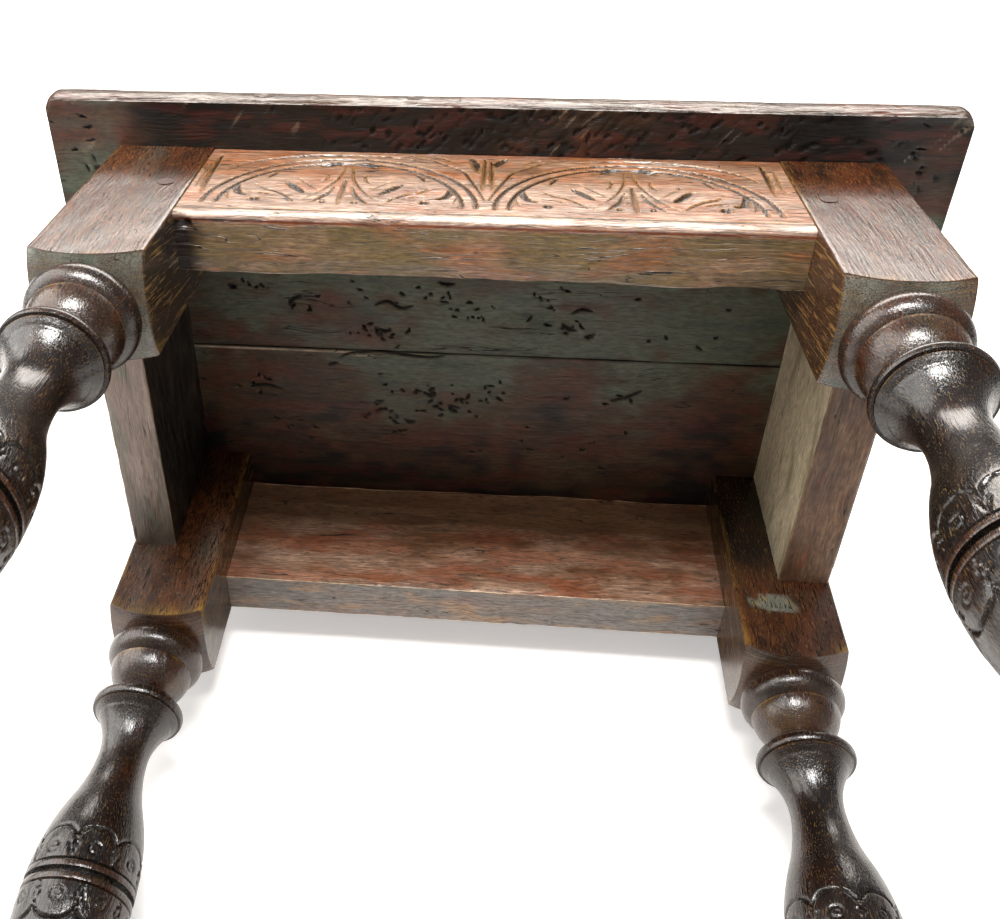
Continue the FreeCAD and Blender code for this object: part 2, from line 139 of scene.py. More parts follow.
# The air round the stool: white to the camera, and a dim room that brightens upwards for the oak.
world = bpy.data.worlds.new("studio")
bpy.context.scene.world = world
world.use_nodes = True
tree = world.node_tree
tree.nodes.clear()
ray = add(tree, "LightPath")
direction = add(tree, "TexCoord")
height = add(tree, "SeparateXYZ", {0: direction.outputs["Generated"]})
rise = add(tree, "MapRange", {0: height.outputs["Z"], 1: -0.8, 2: 0.5, 3: WORLD_LOW, 4: WORLD_HIGH})
straight = add(tree, "Math", {0: ray.outputs["Is Camera Ray"], 1: ray.outputs["Is Transmission Ray"]},
               operation="MAXIMUM")
strength = add(tree, "Mix", {0: straight, 2: rise, 3: 1.0})
air = add(tree, "Background", {"Color": linear("#FFFFFF"), "Strength": strength})
add(tree, "OutputWorld", {"Surface": air})

# The lamps: a long one above the front, which the top shades from the blocks' upper ends, a smaller
# one low in front, which makes the highlights on the turning, and a broad one at the front left.
LAMPS = [
    ("upper_front", (0.0, -0.95, 1.85), (2.2, 0.55), 23.0, "#FFF8F0"),
    ("level_front", (-0.05, -2.0, 0.12), (1.15, 0.95), 88.0, "#FFFDFA"),
    ("left_front", (-1.6, -1.0, 0.40), (2.2, 2.6), 54.0, "#FFFCF8"),
]
AIM = Vector((0.0, 0.0, 0.42))
for name, place, size, watts, colour in LAMPS:
    lamp = bpy.data.lights.new(name, "AREA")
    lamp.shape = "ELLIPSE"
    lamp.size, lamp.size_y = size
    lamp.energy = watts
    lamp.color = linear(colour)[:3]
    holder = bpy.data.objects.new(name, lamp)
    holder.location = place
    holder.rotation_euler = (AIM - holder.location).to_track_quat("-Z", "Y").to_euler()
    bpy.context.scene.collection.objects.link(holder)

# The camera: close to the floor in front of the stool, looking up under the top.
CAMERA_PLACE = (0.00355, -0.33725, 0.01727)
CAMERA_RIGHT = (0.99476455, 0.01627731, 0.10088876)
CAMERA_UP = (-0.04754209, -0.80018441, 0.59786676)
CAMERA_LENS_MM = 38.57
CAMERA_SENSOR_MM = 36.0
CAMERA_SHIFT = (0.1134, -0.0244)
camera = bpy.data.cameras.new("camera")
camera.lens = CAMERA_LENS_MM
camera.sensor_width = CAMERA_SENSOR_MM
camera.shift_x, camera.shift_y = CAMERA_SHIFT
camera.clip_start = 0.01
viewer = bpy.data.objects.new("camera", camera)
right = Vector(CAMERA_RIGHT)
up = Vector(CAMERA_UP)
turn = Matrix((right, up, right.cross(up))).transposed()
viewer.matrix_world = Matrix.Translation(CAMERA_PLACE) @ turn.to_4x4()
bpy.context.scene.collection.objects.link(viewer)
bpy.context.scene.camera = viewer

# The legs: each is one riven oak stick about 51 mm square. Its middle is turned between two square
# blocks, its bulb is cut with a band of gouged scallops, and the wax has gone nearly black with age.
# Front and back legs lean outwards by the rake. Sizes are millimetres, depths run down the leg.
MM = 0.001
STAND_HEIGHT = 538.0
FRAME_WIDTH = 387.0
FRAME_DEPTH = 251.0
RAKE = math.radians(2.83)
LEG_SIDE = 51.5
BLOCK_END = 126.5
TURNING_MIDDLE = 275.6
LOWER_BLOCK = 72.0
LEG_LENGTH = STAND_HEIGHT / math.cos(RAKE)
ARRIS_ROUND = 1.3
FACE_COLUMNS = 50
ARRIS_COLUMNS = 5
# The shoulder under a block: radius and depth at its foot, its bow outwards, its rows and its wear.
SHOULDER = (20.6, 134.5, 1.2, 10, 0.0)
# The half turning: radius and depth at the end of each run, its bow outwards, its rows, how worn
# (above 0) or grimy (below 0) the wood is there, and how black its stain. The foot is given alike,
# with its depths below the lower shoulder.
HALF_TURNING = [
    (21.0, 135.1, 0.0, 2, -1.0, 0.9),
    (21.0, 151.2, 4.5, 18, 0.08, 0.6),
    (21.5, 151.9, 0.0, 2, 0.6, 0.3),
    (13.3, 167.5, 1.7, 14, 0.3, 0.5),
    (13.3, 169.0, 0.0, 2, -0.9, 0.8),
    (22.9, 175.6, 0.8, 7, 0.0, 0.7),
    (22.9, 180.0, 0.6, 5, 0.12, 0.7),
    (21.6, 180.0, 0.0, 2, -0.8, 0.9),
    (21.6, 180.6, 0.0, 1, 0.5, 0.5),
    (12.4, 208.0, -2.9, 34, 0.0, 0.95),
    (17.8, 232.5, -1.0, 10, 0.0, 0.95),
    (25.2, 270.2, 1.7, 50, 0.0, 0.95),
    (24.1, 270.8, 0.0, 2, -1.0, 0.9),
    (25.2, 271.4, 0.0, 2, 0.1, 0.7),
    (25.2, 274.2, 0.2, 5, 0.25, 0.6),
    (22.8, 274.2, 0.0, 3, -1.0, 1.0),
    (22.8, 275.6, 0.0, 2, -1.0, 1.0),
]
FOOT = [(19.5, 0.6, 0.0, 2, -1.0, 0.9), (17.0, 33.0, 3.6, 16, 0.1, 0.7)]
FLARE_LINE = 183.7
SCALLOPS = 8
SCALLOP_TOP = 254.5
SCALLOP_FOOT = 263.8
SCALLOP_CUT = 1.1
SCALLOP_LINE = 0.5
PUNCH_DEPTH_DOWN = 264.6
PUNCH_RADIUS = 2.6
DART_FOOT = 270.0
BULB_RADIUS = 25
CARVED_BULB = (250, 270.3)
# Added to a place in the leg before its noise is looked up.
LEG_NOISE_SHIFT = 500


def bowed_run(start, end, bow, rows):
    """Points from after start to end along an arc that bows outwards from the leg's axis. A run of
    many rows has them closer together near its end, where the scallops are."""
    share = np.linspace(0, 1, rows + 1)[1:] ** (0.6 if rows > 34 else 1.0)
    a = np.array(start, float)
    b = np.array(end, float)
    chord = np.linalg.norm(b - a)
    outwards = np.array([b[1] - a[1], a[0] - b[0]]) / chord
    if not bow:
        return a + share[:, None] * (b - a)
    radius = (chord ** 2 / 4 + bow ** 2) / (2 * abs(bow))
    reach = math.asin(min(1.0, chord / (2 * radius)))
    angle = (2 * share - 1) * reach
    along = radius * np.sin(angle) / chord + 0.5
    off = (radius * np.cos(angle) - radius * math.cos(reach)) * math.copysign(1, bow)
    return a + along[:, None] * (b - a) + off[:, None] * outwards


def value_noise(points, cell, seed):
    """Smooth noise from -1 to 1 at points in mm; cell gives the size of its lumps along X, Y and Z."""
    table = np.random.default_rng(seed).uniform(-1, 1, (37, 37, 37))
    scaled = np.asarray(points) / np.asarray(cell, float)
    low = np.floor(scaled).astype(int)
    part = scaled - low
    part = part * part * (3 - 2 * part)
    total = np.zeros(len(scaled))
    for corner in np.ndindex(2, 2, 2):
        weight = np.prod(np.where(corner, part, 1 - part), axis=1)
        index = (low + corner) % 37
        total += weight * table[index[:, 0], index[:, 1], index[:, 2]]
    return total


def square_outline():
    """Points round the leg's square section, closer together round its slightly rounded arrises."""
    flat = LEG_SIDE / 2 - ARRIS_ROUND
    points = []
    for quarter in range(4):
        turn = quarter * math.pi / 2
        for step in range(FACE_COLUMNS):
            points.append((LEG_SIDE / 2, -flat + 2 * flat * step / FACE_COLUMNS, turn))
        for step in range(ARRIS_COLUMNS):
            angle = step / ARRIS_COLUMNS * math.pi / 2
            points.append((flat + ARRIS_ROUND * math.cos(angle), flat + ARRIS_ROUND * math.sin(angle), turn))
    points = np.array(points)
    cos = np.cos(points[:, 2])
    sin = np.sin(points[:, 2])
    return np.stack([points[:, 0] * cos - points[:, 1] * sin, points[:, 0] * sin + points[:, 1] * cos], 1)


def scallop_cuts(angle, depth, radius):
    """Depth in mm of the gouged scallops, ring punches and darts at each point of the upper bulb."""
    half = math.pi * BULB_RADIUS / SCALLOPS
    share = (angle * SCALLOPS / (2 * math.pi)) % 1 - 0.5
    across = share * 2 * half * radius / BULB_RADIUS
    reach = np.clip(np.abs(across) / half, 0, 1)
    line = SCALLOP_TOP + (SCALLOP_FOOT - SCALLOP_TOP) * (1 - np.sqrt(1 - reach ** 2.6))
    slope = 1 + 1.6 * reach ** 3
    off = (depth - line) / slope
    cut = SCALLOP_CUT * np.exp(-(off / SCALLOP_LINE) ** 2)
    cut += 0.35 * np.exp(-np.clip(-off, 0, None) / 1.1) * (off < 0)
    to_punch = np.hypot(across, depth - PUNCH_DEPTH_DOWN)
    cut += 0.55 * np.exp(-((to_punch - PUNCH_RADIUS) / 0.55) ** 2) + 0.45 * np.exp(-(to_punch / 0.9) ** 2)
    run = np.clip((depth - SCALLOP_FOOT + 1) / (DART_FOOT - SCALLOP_FOOT + 1), 0, 1)
    dart = half - np.abs(across) - 2.3 * (1 - run)
    fade = (depth > SCALLOP_FOOT - 1) & (depth < DART_FOOT)
    cut += 0.7 * np.exp(-(dart / 0.45) ** 2) * fade
    return cut


def skin(rows):
    """Faces of a closed skin whose rows are rings of equally many points, one after another."""
    count, ring = rows.shape[:2]
    index = np.arange(count * ring).reshape(count, ring)
    after = np.roll(index, -1, axis=1)
    quads = np.stack([index[:-1], index[1:], after[1:], after[:-1]], -1).reshape(-1, 4).tolist()
    return quads + [index[0].tolist(), index[-1][::-1].tolist()]


GRAIN_ORDER = {"X": (1, 2, 0), "Y": (0, 2, 1), "Z": (0, 1, 2)}


def make_piece(name, points, faces, layers, material, nodes, grain, seed, sharp=38, place=Matrix()):
    """A mesh piece from points in mm, with its shading layers, that replaces CAD nodes. The layer
    stick is each point's place in its piece of oak, with the grain along its third axis."""
    mesh = bpy.data.meshes.new(name)
    turn = np.array(place.to_3x3())
    mesh.from_pydata((points * MM @ turn.T + np.array(place.translation)).tolist(), [], faces)
    stick = points[:, GRAIN_ORDER[grain]] + np.random.default_rng(seed).uniform(100, 900, 3)
    place_in_stick = mesh.attributes.new("stick", "FLOAT_VECTOR", "POINT")
    place_in_stick.data.foreach_set("vector", stick.astype(np.float32).ravel())
    skin_mesh = bmesh.new()
    skin_mesh.from_mesh(mesh)
    bmesh.ops.recalc_face_normals(skin_mesh, faces=skin_mesh.faces)
    skin_mesh.to_mesh(mesh)
    skin_mesh.free()
    plain = np.zeros(len(points))
    for layer, values in {"stain": plain, "sawn": plain, **layers}.items():
        mesh.attributes.new(layer, "FLOAT", "POINT").data.foreach_set("value", np.asarray(values, np.float32))
    mesh.polygons.foreach_set("use_smooth", [True] * len(mesh.polygons))
    mesh.set_sharp_from_angle(angle=math.radians(sharp))
    mesh.materials.append(material)
    piece = bpy.data.objects.new(name, mesh)
    bpy.context.scene.collection.objects.link(piece)
    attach(piece, "root")
    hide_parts(*nodes)
    return piece


def frame_place(behind):
    """Axes of the front or back frame: z down its leaning face, y into the wood, in metres."""
    lean = Matrix.Rotation(-RAKE, 4, "X")
    turn = Matrix.Rotation(math.pi if behind else 0, 4, "Z")
    move = Matrix.Translation((0, FRAME_DEPTH / 2 * (1 if behind else -1) * MM, STAND_HEIGHT * MM))
    return move @ turn @ lean


def leg_mesh(seed, side, block_stain, rubbed, inner_stain, shoulder_stain, painted_top_shade, scar):
    """Rows of points down one leg, with its layers. Side is 1 where the frame lies towards -X. The stain
    is given for the faces that show, the sawn inner side and the shoulders, then the painted shade
    that darkens the leg towards its top; scar is a split-out patch's place."""
    outline = square_outline()
    reach = np.hypot(outline[:, 0], outline[:, 1])
    angle = np.arctan2(outline[:, 1], outline[:, 0])
    unit = np.stack([np.cos(angle), np.sin(angle)], 1)
    corner = LEG_SIDE / math.sqrt(2)
    arc = np.concatenate([[(corner, BLOCK_END)],
                          bowed_run((corner, BLOCK_END), SHOULDER[:2], SHOULDER[2], 60)])
    top = (outline[:, 1] + LEG_SIDE / 2) * math.tan(RAKE)
    rows, wear, cuts, stains, sawn = [], [], [], [], []
    to_side = np.clip((-side * outline[:, 0] - np.abs(outline[:, 1])) / 1.5, 0, 1)

    def ring(radius, depth, worn, stain, cut=None, saw=0.0):
        radius = np.broadcast_to(radius, reach.shape)
        down = np.broadcast_to(depth, reach.shape)
        rows.append(np.stack([unit[:, 0] * radius, unit[:, 1] * radius, -down], 1))
        wear.append(np.broadcast_to(worn, reach.shape))
        stains.append(np.broadcast_to(stain, reach.shape))
        sawn.append(np.broadcast_to(saw, reach.shape))
        cuts.append(np.zeros(len(reach)) if cut is None else cut)

    def shoulder_depth(radius):
        return np.interp(radius, arc[::-1, 0], arc[::-1, 1])

    def arris_wear(radius):
        return np.clip((radius - LEG_SIDE / 2) / (corner - LEG_SIDE / 2), 0, 1) ** 6

    def block(start, end, count, worn_start, worn_end):
        face_stain = block_stain + (inner_stain - block_stain) * to_side
        for share in np.linspace(0, 1, count):
            edge = rubbed + worn_start * math.exp(-share * 20) + worn_end * math.exp(-(1 - share) * 20)
            ring(reach, start + (end - start) * share, 0.6 * arris_wear(reach) + edge, face_stain, saw=to_side)

    def shoulder(first, last, place):
        for share in np.linspace(first, last, SHOULDER[3] + 1):
            radius = SHOULDER[0] + (reach - SHOULDER[0]) * share
            edge = 0.5 * np.clip((share - 0.85) / 0.15, 0, 1)
            ring(radius, place(shoulder_depth(radius)), SHOULDER[4] + edge, shoulder_stain, saw=0.3)

    def half_turning(mirror):
        places = [SHOULDER[:2] + (0, 0, 0, 0)] + HALF_TURNING
        runs = list(zip(places[:-1], places[1:]))
        for start, end in reversed(runs) if mirror else runs:
            points = bowed_run(start[:2], end[:2], end[2], end[3])
            if mirror:
                points = np.concatenate([[start[:2]], points])[::-1][1:]
            for radius, depth in points:
                cut = scallop_cuts(angle + (math.pi / SCALLOPS if mirror else 0), depth, radius)
                if not CARVED_BULB[0] < depth < CARVED_BULB[1]:
                    cut = np.full(len(reach), 0.45 * math.exp(-((depth - FLARE_LINE) / 0.45) ** 2))
                shown = 2 * TURNING_MIDDLE - depth if mirror else depth
                ring(radius - cut, shown, end[4], end[5], np.clip(cut, 0, 1))

    block(-top, shoulder_depth(reach), 30, 0, 0.5)
    shoulder(1 - 1 / SHOULDER[3], 0, lambda depth: depth)
    half_turning(False)
    half_turning(True)
    shoulder(0, 1, lambda depth: 2 * TURNING_MIDDLE - depth)
    lower_start = 2 * TURNING_MIDDLE - shoulder_depth(reach)
    drop = 2 * TURNING_MIDDLE - 2 * BLOCK_END + LOWER_BLOCK
    block(lower_start, shoulder_depth(reach) + drop, 20, 0.5, 0.5)
    shoulder(1 - 1 / SHOULDER[3], 0, lambda depth: depth + drop)
    foot_top = SHOULDER[1] + drop
    radius, depth = SHOULDER[0], foot_top
    for foot_radius, foot_drop, bow, count, worn, stain in FOOT:
        for foot_point in bowed_run((radius, depth), (foot_radius, foot_top + foot_drop), bow, count):
            level = LEG_LENGTH - (unit[:, 1] * foot_point[0] + LEG_SIDE / 2) * math.tan(RAKE)
            share = (foot_point[1] - foot_top) / FOOT[-1][1]
            ring(foot_point[0], foot_top + (level - foot_top) * share, worn, stain)
        radius, depth = foot_radius, foot_top + foot_drop
    rows = np.array(rows)
    flat = rows.reshape(-1, 3)
    radial = np.hypot(flat[:, 0], flat[:, 1])[:, None]

    def noise(cell, step):
        return value_noise(flat + LEG_NOISE_SHIFT, cell, seed + step)

    hand = 0.16 * noise((9, 9, 16), 0) + 0.05 * noise((3.5, 3.5, 7), 1)
    turned = (-flat[:, 2] > SHOULDER[1]) & (-flat[:, 2] < 2 * TURNING_MIDDLE - SHOULDER[1])
    hand = np.where(turned, hand, hand - 0.05)
    flat[:, :2] *= 1 + np.minimum(hand, 0.0)[:, None] / radial
    stain = np.array(stains).ravel() + 0.22 * noise((16, 16, 70), 2)
    # Painted shade: the leg darkens over its upper 60 to 90 mm, under the top.
    stain += painted_top_shade * np.clip((90 + flat[:, 2]) / 30, 0, 1)
    worn = np.array(wear).ravel()
    worn = np.where(worn > 0, worn * np.clip(0.75 + 0.7 * noise((9, 9, 16), 3), 0, 1.2), worn)
    if scar:
        torn = 1.5 - ((flat[:, 0] - scar[0]) / 11) ** 2 - ((flat[:, 2] + scar[1]) / 4.5) ** 2
        torn = np.clip(torn + 0.5 * noise((3, 3, 3), 4), 0, 1) * (flat[:, 1] > LEG_SIDE / 2 - 1.5)
        flat[:, 1] -= 1.1 * torn
        stain -= 2.0 * torn
        worn = np.maximum(worn, 1.2 * torn * (1 - torn) * 2)
    return rows, {"worn": worn, "cut": np.array(cuts).ravel(), "stain": stain,
                  "sawn": np.array(sawn).ravel()}


# Old oak, waxed for centuries: dark growth bands, open pores that run as short dashes along the
# grain, a few drying cracks, and a skin of wax that shines on the proud places and dulls in the pores.
def aged_oak(name, dark, middle, light, pore, worn_tone, grime, cut_tone, stained, bare, shine, figure=1.0,
             wax=0.35, wax_rough=0.16, open_pores=0.85, pore_length=7.0, warm="#7A4524", warmth=0.0,
             ribs=0.05, grit_height=0.03, crackle=0.55, strokes_tone=None, bare_cool=None, flecks=0.0,
             wax_bump=0.6, wax_ior=1.45, pore_size=0.42, line_size=0.8, mottle=0.3, ripples=0.14,
             stained_warm=None):
    """Oak by its place in the stick. The layers say where it is rubbed (worn), carved (cut), stained
    black (stain above 0) or bare (below 0), and marked by the saw (sawn); in places the worn, cut and
    stain layers also carry painted shade, light and sheen. The tones come first, then how rough the
    wood is at its shiniest and dullest (shine)."""
    material, tree = new_material(name)
    stick = add(tree, "Attribute", attribute_name="stick").outputs["Vector"]
    worn, cuts, stain, sawn = [add(tree, "Attribute", attribute_name=layer).outputs["Fac"]
                               for layer in ("worn", "cut", "stain", "sawn")]
    slow = add(tree, "VectorMath", {0: stick, 1: (0.05, 0.05, 0.018)}, operation="MULTIPLY")
    wander = add(tree, "TexNoise", {"Vector": slow, "Scale": 1.0, "Detail": 2.0}).outputs["Color"]
    sway = add(tree, "VectorMath", {0: wander, 1: (9.0, 9.0, 0.0), 2: stick}, operation="MULTIPLY_ADD")

    # Patterns drawn out along the grain: the width and length of their lumps in mm, then their detail
    # and roughness. Pores of real oak are about 0.3 mm wide, too fine to show, so they are drawn wider.
    grained = {}
    for pattern, wide, long, detail, roughness in (
            ("bands", 3.2 * figure, 110.0, 3.0, 0.6), ("pores", pore_size, pore_length, 1.0, 0.5),
            ("lines", line_size, 30.0, 2.0, 0.5), ("ripple", 2.4, 7.0, 1.0, 0.5),
            ("crack lines", 4.0, 85.0, 1.5, 0.5), ("crack places", 9.0, 45.0, 1.0, 0.5),
            ("patches", 15.0, 34.0, 4.0, 0.6), ("warmer", 13.0, 42.0, 2.0, 0.5),
            ("blacker", 9.0, 30.0, 2.0, 0.5), ("cooler", 11.0, 38.0, 3.0, 0.5),
            ("flecks", 0.5, 3.2, 1.0, 0.5), ("clouds", 1.3, 6.0, 3.0, 0.7)):
        scale = (1 / wide, 1 / wide, 1 / long)
        stretched = add(tree, "VectorMath", {0: sway, 1: scale}, operation="MULTIPLY")
        grained[pattern] = add(tree, "TexNoise", {"Vector": stretched, "Scale": 1.0, "Detail": detail,
                                                  "Roughness": roughness})
    grit = add(tree, "TexNoise", {"Vector": stick, "Scale": 1.3, "Detail": 2.0})
    skew = add(tree, "VectorRotate", {"Vector": stick, "Angle": math.radians(8)}, rotation_type="X_AXIS")
    strokes = add(tree, "VectorMath", {0: skew, 1: (0.02, 1.1, 0.05)}, operation="MULTIPLY")
    strokes = add(tree, "TexNoise", {"Vector": strokes, "Scale": 1.0, "Detail": 1.0})
    banded = add(tree, "Math", {0: grained["bands"], 1: 0.26}, operation="MULTIPLY")
    pores = add(tree, "Math", {0: grained["pores"], 1: banded}, operation="ADD")
    to_crack = add(tree, "Math", {0: grained["crack lines"], 1: 0.5}, operation="SUBTRACT")
    to_crack = add(tree, "Math", {0: to_crack, 1: 0.0}, operation="ABSOLUTE")

    # How far each pattern or layer shows: the values where that starts and ends, and its share there.
    shown = {}
    for place, value, low, high, first, last in (
            ("bands", grained["bands"], 0.3, 0.72, 0.0, 1.0), ("pores", pores, 0.69, 0.76, 0.0, 1.0),
            ("lines", grained["lines"], 0.38, 0.68, 0.0, 1.0),
            ("crack lines", to_crack, 0.003, 0.012, 1.0, 0.0),
            ("crack places", grained["crack places"], crackle, crackle + 0.07, 0.0, 1.0),
            ("patches", grained["patches"], 0.34, 0.66, 0.0, 1.0),
            ("warmer", grained["warmer"], 0.45, 0.62, 0.0, 1.0),
            ("blacker", grained["blacker"], 0.48, 0.62, 0.0, 1.0),
            ("cooler", grained["cooler"], 0.50, 0.68, 0.0, 1.0),
            ("flecks", grained["flecks"], 0.62, 0.68, 0.0, 1.0),
            ("clouds", grained["clouds"], 0.32, 0.68, 1 - mottle, 1 + mottle),
            ("strokes", strokes, 0.57, 0.66, 0.0, 1.0),
            ("rubbed", worn, 0.15, 1.0, 0.0, 1.0), ("grimy", worn, -0.1, -0.8, 0.0, 1.0),
            ("cut sides", cuts, 0.1, 0.5, 0.0, 0.8), ("cut bottoms", cuts, 0.6, 1.0, 0.0, 0.9),
            ("dull cuts", cuts, 0.2, 0.8, 0.0, 0.25)):
        shown[place] = add(tree, "MapRange", {0: value, 1: low, 2: high, 3: first, 4: last},
                           interpolation_type="SMOOTHSTEP")

    # The stain ends raggedly, along the patches and lines.
    ragged = {}
    for pattern, size in (("patches", 0.5), ("lines", 0.2)):
        centred = add(tree, "Math", {0: shown[pattern], 1: 0.5}, operation="SUBTRACT")
        ragged[pattern] = add(tree, "Math", {0: centred, 1: size}, operation="MULTIPLY")
    uneven = add(tree, "Math", {0: ragged["patches"], 1: ragged["lines"]}, operation="ADD")
    amount = add(tree, "Math", {0: stain, 1: 0.0}, operation="ABSOLUTE")
    uneven = add(tree, "Math", {0: uneven, 1: amount}, operation="MULTIPLY")
    stain = add(tree, "Math", {0: stain, 1: uneven}, operation="ADD")
    for place, value, high, first, last in (
            ("stained", stain, 1.0, 0.0, 1.0), ("bared", stain, -1.0, 0.0, 1.0),
            ("rub places", shown["patches"], 0.6, 0.45, 1.0), ("dull", shown["patches"], 1.0, *shine)):
        shown[place] = add(tree, "MapRange", {0: value, 1: 0.0, 2: high, 3: first, 4: last},
                           interpolation_type="SMOOTHSTEP")

    # What shows only in part, or only where two things meet.
    for place, first, second in (
            ("light", shown["patches"], 0.75), ("warm", shown["warmer"], warmth),
            ("dark lines", shown["lines"], 0.45), ("worn", shown["rubbed"], shown["rub places"]),
            ("cracks", shown["crack lines"], shown["crack places"]), ("open pores", shown["pores"], open_pores),
            ("sawn strokes", shown["strokes"], sawn), ("painted glints", shown["flecks"], flecks)):
        shown[place] = add(tree, "Math", {0: first, 1: second}, operation="MULTIPLY")
    pale_strokes = add(tree, "Math", {0: shown["sawn strokes"], 1: 0.8}, operation="MULTIPLY")
    holes = add(tree, "Math", {0: shown["open pores"], 1: shown["cracks"]}, operation="MAXIMUM")

    # The tones, from those of the wood to those that lie on it, each laid over the ones before. The golden flecks
    # last are painted glints of the polish.
    black = add(tree, "Mix", {0: shown["blacker"], 6: linear(stained), 7: linear(stained_warm or stained)},
                data_type="RGBA").outputs[2]
    grey = add(tree, "Mix", {0: shown["cooler"], 6: linear(bare), 7: linear(bare_cool or bare)},
               data_type="RGBA").outputs[2]
    tone = linear(dark)
    for share, over in (
            (shown["bands"], linear(middle)), (shown["light"], linear(light)), (shown["warm"], linear(warm)),
            (shown["dark lines"], linear(dark)), (shown["stained"], black), (shown["bared"], grey),
            (shown["worn"], linear(worn_tone)), (shown["grimy"], linear(grime)),
            (shown["cut sides"], linear(cut_tone)), (shown["cut bottoms"], linear(pore)),
            (pale_strokes, linear(strokes_tone or bare)), (holes, linear(pore)),
            (shown["painted glints"], linear("#B08A4A"))):
        tone = add(tree, "Mix", {0: share, 6: tone, 7: over}, data_type="RGBA").outputs[2]
    tone = add(tree, "HueSaturation", {"Value": shown["clouds"], "Color": tone})

    # The relief, in mm: holes go down, and the rest stands proud or dips by its own share.
    height = add(tree, "Math", {0: holes, 1: -0.22}, operation="MULTIPLY")
    for relief, rise in (
            (grained["bands"], 0.10), (shown["lines"], ribs), (grit, grit_height), (shown["patches"], 0.05),
            (shown["sawn strokes"], -0.12), (grained["ripple"], ripples), (shown["painted glints"], 0.12)):
        raised = add(tree, "Math", {0: relief, 1: rise}, operation="MULTIPLY")
        height = add(tree, "Math", {0: height, 1: raised}, operation="ADD")
    bump = add(tree, "Bump", {"Height": height, "Distance": MM, "Strength": 1.0})
    skin_bump = add(tree, "Bump", {"Height": height, "Distance": MM, "Strength": wax_bump})
    dull_holes = add(tree, "Math", {0: holes, 1: 0.3}, operation="MULTIPLY")
    dull = add(tree, "Math", {0: shown["dull"], 1: dull_holes}, operation="ADD")
    dull = add(tree, "Math", {0: dull, 1: shown["dull cuts"]}, operation="ADD")
    wood = add(tree, "BsdfPrincipled", {"Base Color": tone, "Roughness": dull, "IOR": 1.5, "Normal": bump,
                                        "Specular IOR Level": 0.5 - 0.4 * wax, "Coat Weight": wax,
                                        "Coat Roughness": wax_rough, "Coat IOR": wax_ior,
                                        "Coat Normal": skin_bump})
    add(tree, "OutputMaterial", {"Surface": wood})
    return material


# Turned and waxed oak: nearly black and glossy, worn to gold-brown on the proud rings, with pale
# strokes of the saw on the inner sides of the blocks, and golden specks that are painted glints of the polish.
turned_oak = aged_oak("turned_waxed_oak", dark="#1C0C05", middle="#44200E", light="#63391C", pore="#0B0604",
                      worn_tone="#8A682E", grime="#0D0704", cut_tone="#0B0604", stained="#0C0402",
                      bare="#74756A", bare_cool="#626A5E", warm="#54260E", warmth=0.65,
                      strokes_tone="#94703A", flecks=0.2, mottle=0.15, shine=(0.42, 0.56), wax=1.0,
                      wax_rough=0.17, wax_bump=0.3, wax_ior=1.62, ribs=0.14, grit_height=0.07,
                      ripples=0.06)
# Each leg: its side, whether it stands behind, and then its state as leg_mesh takes it.
LEGS = [
    (-1, False, -0.1, 0.1, 0.7, -0.75, 0.0, None),
    (1, False, 0.15, 0.0, 0.3, -0.6, 0.0, None),
    (-1, True, -0.05, 0.15, 0.7, 0.1, 0.0, None),
    (1, True, 0.0, 0.0, 0.5, -0.2, 0.9, (6.5, 99.0)),
]
for leg_index, (across_side, behind, *state) in enumerate(LEGS):
    name = f"leg_{'back' if behind else 'front'}_{'left' if across_side < 0 else 'right'}"
    local_side = -across_side if behind else across_side
    offset = Matrix.Translation((local_side * (FRAME_WIDTH - LEG_SIDE) / 2 * MM, LEG_SIDE / 2 * MM, 0))
    rows, layers = leg_mesh(11 + 10 * leg_index, local_side, *state)
    make_piece(name + "_turned", rows.reshape(-1, 3), skin(rows), layers, turned_oak, [name],
               "Z", 11 + leg_index, place=frame_place(behind) @ offset)

# The front rail: a board between the front legs, tenoned into them. Its face is cut with two
# lunettes of leaves by gouge and V-tool, and a bead with a line above it runs along its lower edge.
BETWEEN_LEGS = FRAME_WIDTH - 2 * LEG_SIDE
RAIL_SET_BACK = 0.8
FRONT_RAIL_HEIGHT = 84.0
FRONT_RAIL_THICKNESS = 30.5
RAIL_BEAD_ROUND = 2.8
CARVED_COLUMNS = 440
LUNETTES = (-68.5, 67.0)
# The line above the bead: its place down the face, half its width and its depth.
QUIRK_DOWN = 77.6
QUIRK_HALF_WIDTH = 1.3
QUIRK_DEPTH = 0.4
BEAD_DOWN = 82.6
CARVING_PRESS = 1.25
CHIP_PLACE = -139
# Added to a place in the wood before its noise is looked up.
BAR_NOISE_SHIFT = 900
# Cuts of one side of a lunette: width, depth and points, as distance from its middle and height
# down from the rail's top. The other side mirrors them.
LEAF_CUTS = [
    (2.0, 0.9, [(1.5, 16), (2.5, 30), (4, 38), (7.5, 48), (12.5, 57), (19.5, 67)]),
    (2.9, 1.2, [(4, 47), (7, 58), (13.5, 68)]),
    (2.2, 1.0, [(20.5, 68), (25, 61.5), (31, 55.5), (37, 52.5), (42, 47)]),
    (4.2, 1.9, [(44.0, 60), (48, 58.5), (50.5, 53), (51, 46)]),
    (4.7, 1.8, [(27.5, 43.5), (23, 49.5), (18, 56)]),
    (2.6, 1.2, [(33.5, 29), (36, 33), (38, 38)]),
    (2.0, 0.9, [(9.5, 31), (9.2, 37), (12, 43)]),
    (1.7, 0.8, [(24, 37), (17, 46), (11, 53)]),
    (6.5, 1.5, [(3.5, 18.5), (8, 17), (14, 21.5)]),
    (1.8, 0.9, [(31, 61), (36, 58), (42, 57)]),
    (1.7, 0.8, [(52, 66), (54, 60), (54.5, 54)]),
]
EYES = [(39.5, 65, 2.6, 1.8), (7.5, 66.5, 1.9, 1.3)]
ARCHES = [(63.5, 59.5, 70.0, 3.0, 1.4), (57.0, 54.0, 70.0, 3.0, 1.4)]
OUTER_ARCH = (61.0, 30.5, 35.0, 3.0, 1.4)
